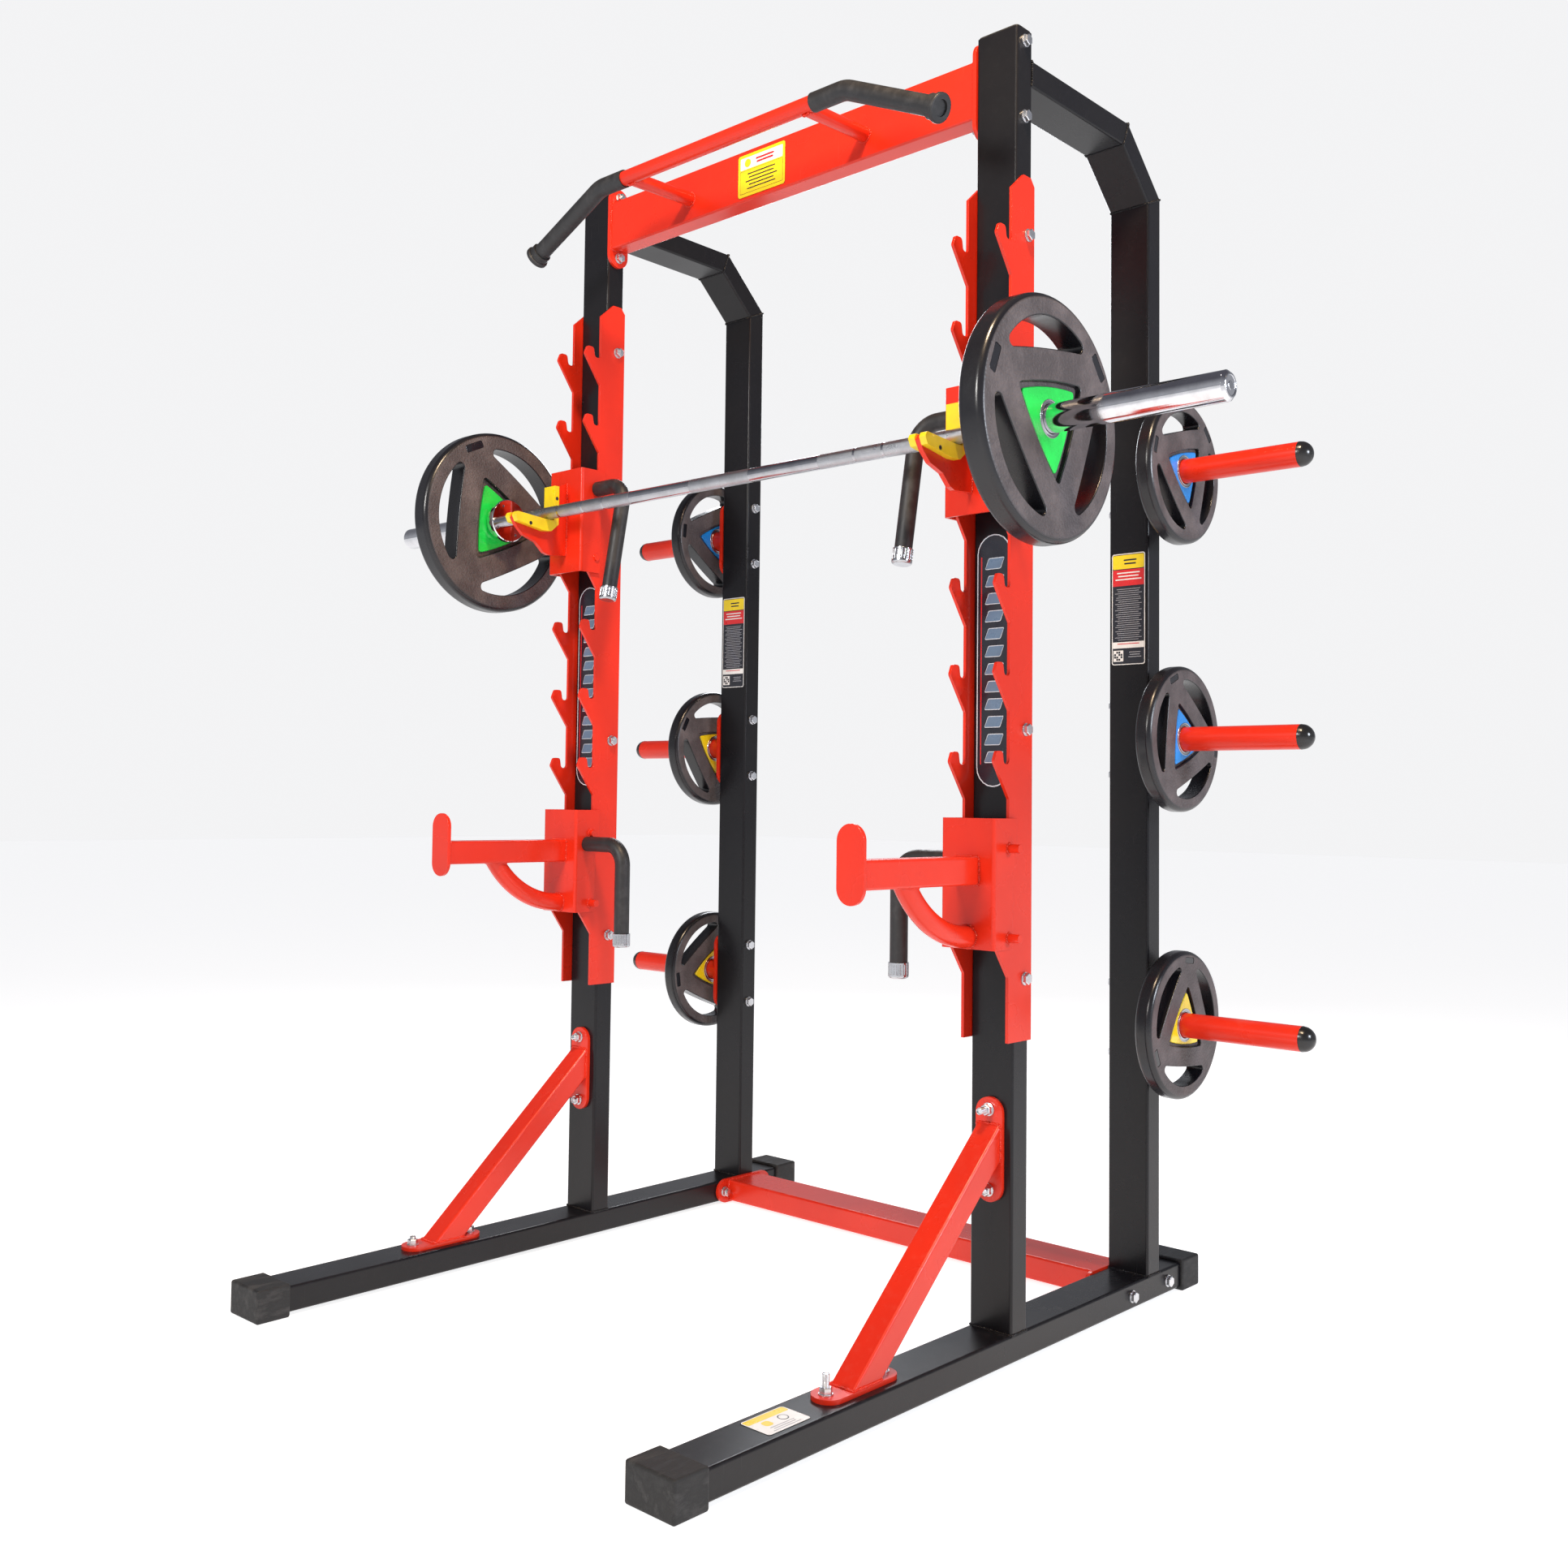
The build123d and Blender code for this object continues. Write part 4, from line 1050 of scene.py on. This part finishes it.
panelShapes = {
    "rear": [
        ("filmWhite", 0, 0, 0.0764, 0.2324, 0.005, 0, 0), ("filmDark", 0, 0, 0.0728, 0.2288, 0.004, 0, 1),
        ("filmYellow", 0, 0.0985, 0.0720, 0.0290, 0.003, 0, 2),
        ("filmRed", 0, 0.0655, 0.0720, 0.0340, 0.001, 0, 2),
        ("filmWhite", 0, -0.0750, 0.0720, 0.0130, 0.001, 0, 2),
        ("filmWhite", -0.0230, -0.0975, 0.0230, 0.0230, 0.001, 0, 2),
    ],
    "beam": [
        ("filmYellow", 0, 0, 0.1364, 0.0924, 0.006, 0, 0),
        ("filmWhite", 0, 0.0265, 0.1230, 0.0260, 0.002, 0, 1),
        ("filmDark", 0, -0.0140, 0.1240, 0.0500, 0.002, 0, 1),
        ("filmYellow", 0, -0.0140, 0.1226, 0.0486, 0.002, 0, 2),
        ("filmYellow", -0.0400, 0.0265, 0.0180, 0.0180, 0.009, 0, 2),
    ],
    "rail": [
        ("filmWhite", 0, 0, 0.0964, 0.0624, 0.006, 0, 0),
        ("filmYellow", 0, 0.0215, 0.0920, 0.0150, 0.003, 0, 1),
        ("filmYellow", -0.0180, 0.0010, 0.0170, 0.0170, 0.006, 0, 1),
        ("filmDark", 0.0180, 0.0010, 0.0190, 0.0190, 0.0095, 0, 1),
        ("filmWhite", 0.0180, 0.0010, 0.0150, 0.0150, 0.0075, 0, 2),
    ],
}


def textBars(x, top, bottom, width, gap, thick, finish, layer, uneven=0.25):
    # plain thin bars that stand for lines of small print
    shapes = []
    count = int((top - bottom) / gap)
    for k in range(count):
        part = 1 - uneven * (0.5 + 0.5 * math.sin(k * 2.4))
        shapes.append((finish, x, top - gap * (k + 0.5), width * part, thick, thick * 0.4, 0, layer))
    return shapes


def allPanelShapes():
    shapes = {key: list(value) for key, value in panelShapes.items()}
    shapes["rear"] += textBars(0.004, 0.1060, 0.0910, 0.034, 0.0075, 0.0032, "filmDark", 3)
    shapes["rear"] += textBars(0, 0.0790, 0.0520, 0.060, 0.0068, 0.0026, "filmWhite", 3)
    shapes["rear"] += textBars(0, 0.0440, -0.0660, 0.062, 0.0044, 0.0013, "filmGrey", 3)
    shapes["rear"] += textBars(0, -0.0700, -0.0800, 0.058, 0.0050, 0.0018, "filmRed", 3)
    shapes["rear"] += textBars(0.0150, -0.0880, -0.1070, 0.030, 0.0048, 0.0016, "filmGrey", 3)
    for k in range(16):
        across, up = -0.0305 + 0.005 * (k % 4), -0.0900 - 0.005 * (k // 4)
        if (k * 7 + k // 4) % 3:
            shapes["rear"].append(("filmDark", across, up, 0.0042, 0.0042, 0.0003, 0, 3))
    shapes["beam"] += textBars(0.010, 0.0340, 0.0190, 0.060, 0.0075, 0.0040, "filmRed", 2)
    shapes["beam"] += textBars(0, 0.0060, -0.0340, 0.092, 0.0080, 0.0026, "filmDark", 3)
    shapes["rail"] += textBars(0.004, 0.0260, 0.0170, 0.050, 0.0090, 0.0044, "filmDark", 2)
    shapes["rail"] += textBars(0, -0.0110, -0.0280, 0.062, 0.0056, 0.0020, "filmGrey", 1)
    return shapes


stripSettings = {
    "long": 0.470,
    "wide": 0.076,
    "rim": 0.0022,
    "marks": 12,
    "pitch": 0.0325,
    "mark": (0.0270, 0.0185),
    "lean": 0.0090,
    "line": (-0.0270, 0.0026, 0.385),
}


def stripShapes():
    # a bright outline, a row of leaning bars and one thin red line
    s = stripSettings
    wide, long, rim = s["wide"], s["long"], s["rim"]
    shapes = [
        ("filmSilver", 0, 0, wide - 0.003, long - 0.003, wide / 2 - 0.0015, 0, 0),
        ("filmDark", 0, 0, wide - 0.003 - 2 * rim, long - 0.003 - 2 * rim, wide / 2 - 0.0015 - rim, 0, 1),
        ("filmRed", s["line"][0], 0, s["line"][1], s["line"][2], 0.0012, 0, 2),
    ]
    for k in range(s["marks"]):
        up = (k - (s["marks"] - 1) / 2) * s["pitch"]
        width, height = s["mark"]
        shapes.append(("filmSilver", 0.002, up, width + 0.0026, height + 0.0026, 0.0025, s["lean"], 2))
        shapes.append(("filmBlue", 0.002, up, width, height, 0.0018, s["lean"], 3))
    return shapes


sheetPlaces = {
    "filmThick": 0.0008,  # how far a panel stands off its tube
    "rearZ": 1.414,
    "beam": (-0.032, 2.356),  # across and up
    "railY": -0.503,
}


def makePrints():
    t, place = tubeSettings, sheetPlaces
    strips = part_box("upright_strips")
    shapes = allPanelShapes()
    sheets = []
    for side in sides.values():
        x = side * t["side"]
        stripZ = (strips[0][2] + strips[1][2]) / 2
        sheets.append(((x, strips[0][1], stripZ), (1, 0, 0), (0, 0, 1), (0, -1, 0), stripShapes()))
        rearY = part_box("rear_uprights")[0][1] - place["filmThick"]
        sheets.append(((x, rearY, place["rearZ"]), (1, 0, 0), (0, 0, 1), (0, -1, 0), shapes["rear"]))
    beamX, beamZ = place["beam"]
    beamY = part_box("front_uprights")[0][1] - place["filmThick"]
    sheets.append(((beamX, beamY, beamZ), (1, 0, 0), (0, 0, 1), (0, -1, 0), shapes["beam"]))
    railZ = t["railTop"] + place["filmThick"]
    sheets.append(((t["side"], place["railY"], railZ), (0, 1, 0), (-1, 0, 0), (0, 0, 1), shapes["rail"]))
    byFinish = {}
    for centre, across, up, out, sheet in sheets:
        for finish, u, v, width, height, corner, lean, layer in sheet:
            middlePoint = Vector(centre) + Vector(across) * u + Vector(up) * v
            slanted = Vector(up) * height + Vector(across) * lean
            rounding = min(corner, width / 2, height / 2)
            outline = sectionLoop(middlePoint, across, up, width / 2, height / 2, rounding, 5)
            if lean:
                way = slanted.normalized()
                shift = Vector(across) * lean
                outline = [p + shift * (p - middlePoint).dot(way) / height for p in outline]
            layers = [(printFilm * (layer + 0.1), 0), (printFilm * (layer + 1.1), 0)]
            byFinish.setdefault(finish, []).append(raisedPlate(outline, out, layers))
    for finish, plates in byFinish.items():
        linkPiece("print_" + finish, meshFrom(*joinShapes(plates)), finish, "rack", False)
    print("printed sheets made,", len(sheets))


makeCamera()
makeFinishes()
makeStudio()
print("camera, studio and finishes made")
dressFrame()
runTree = makeRunTree()
makeWelds(runTree)
makeThreads(runTree)
print("welds and threads made")
makeHubRings()
makePads()
makeKnurls()
makeSleeveCaps()
makeTubePlugs()
makeLinerScrews()
makePrints()
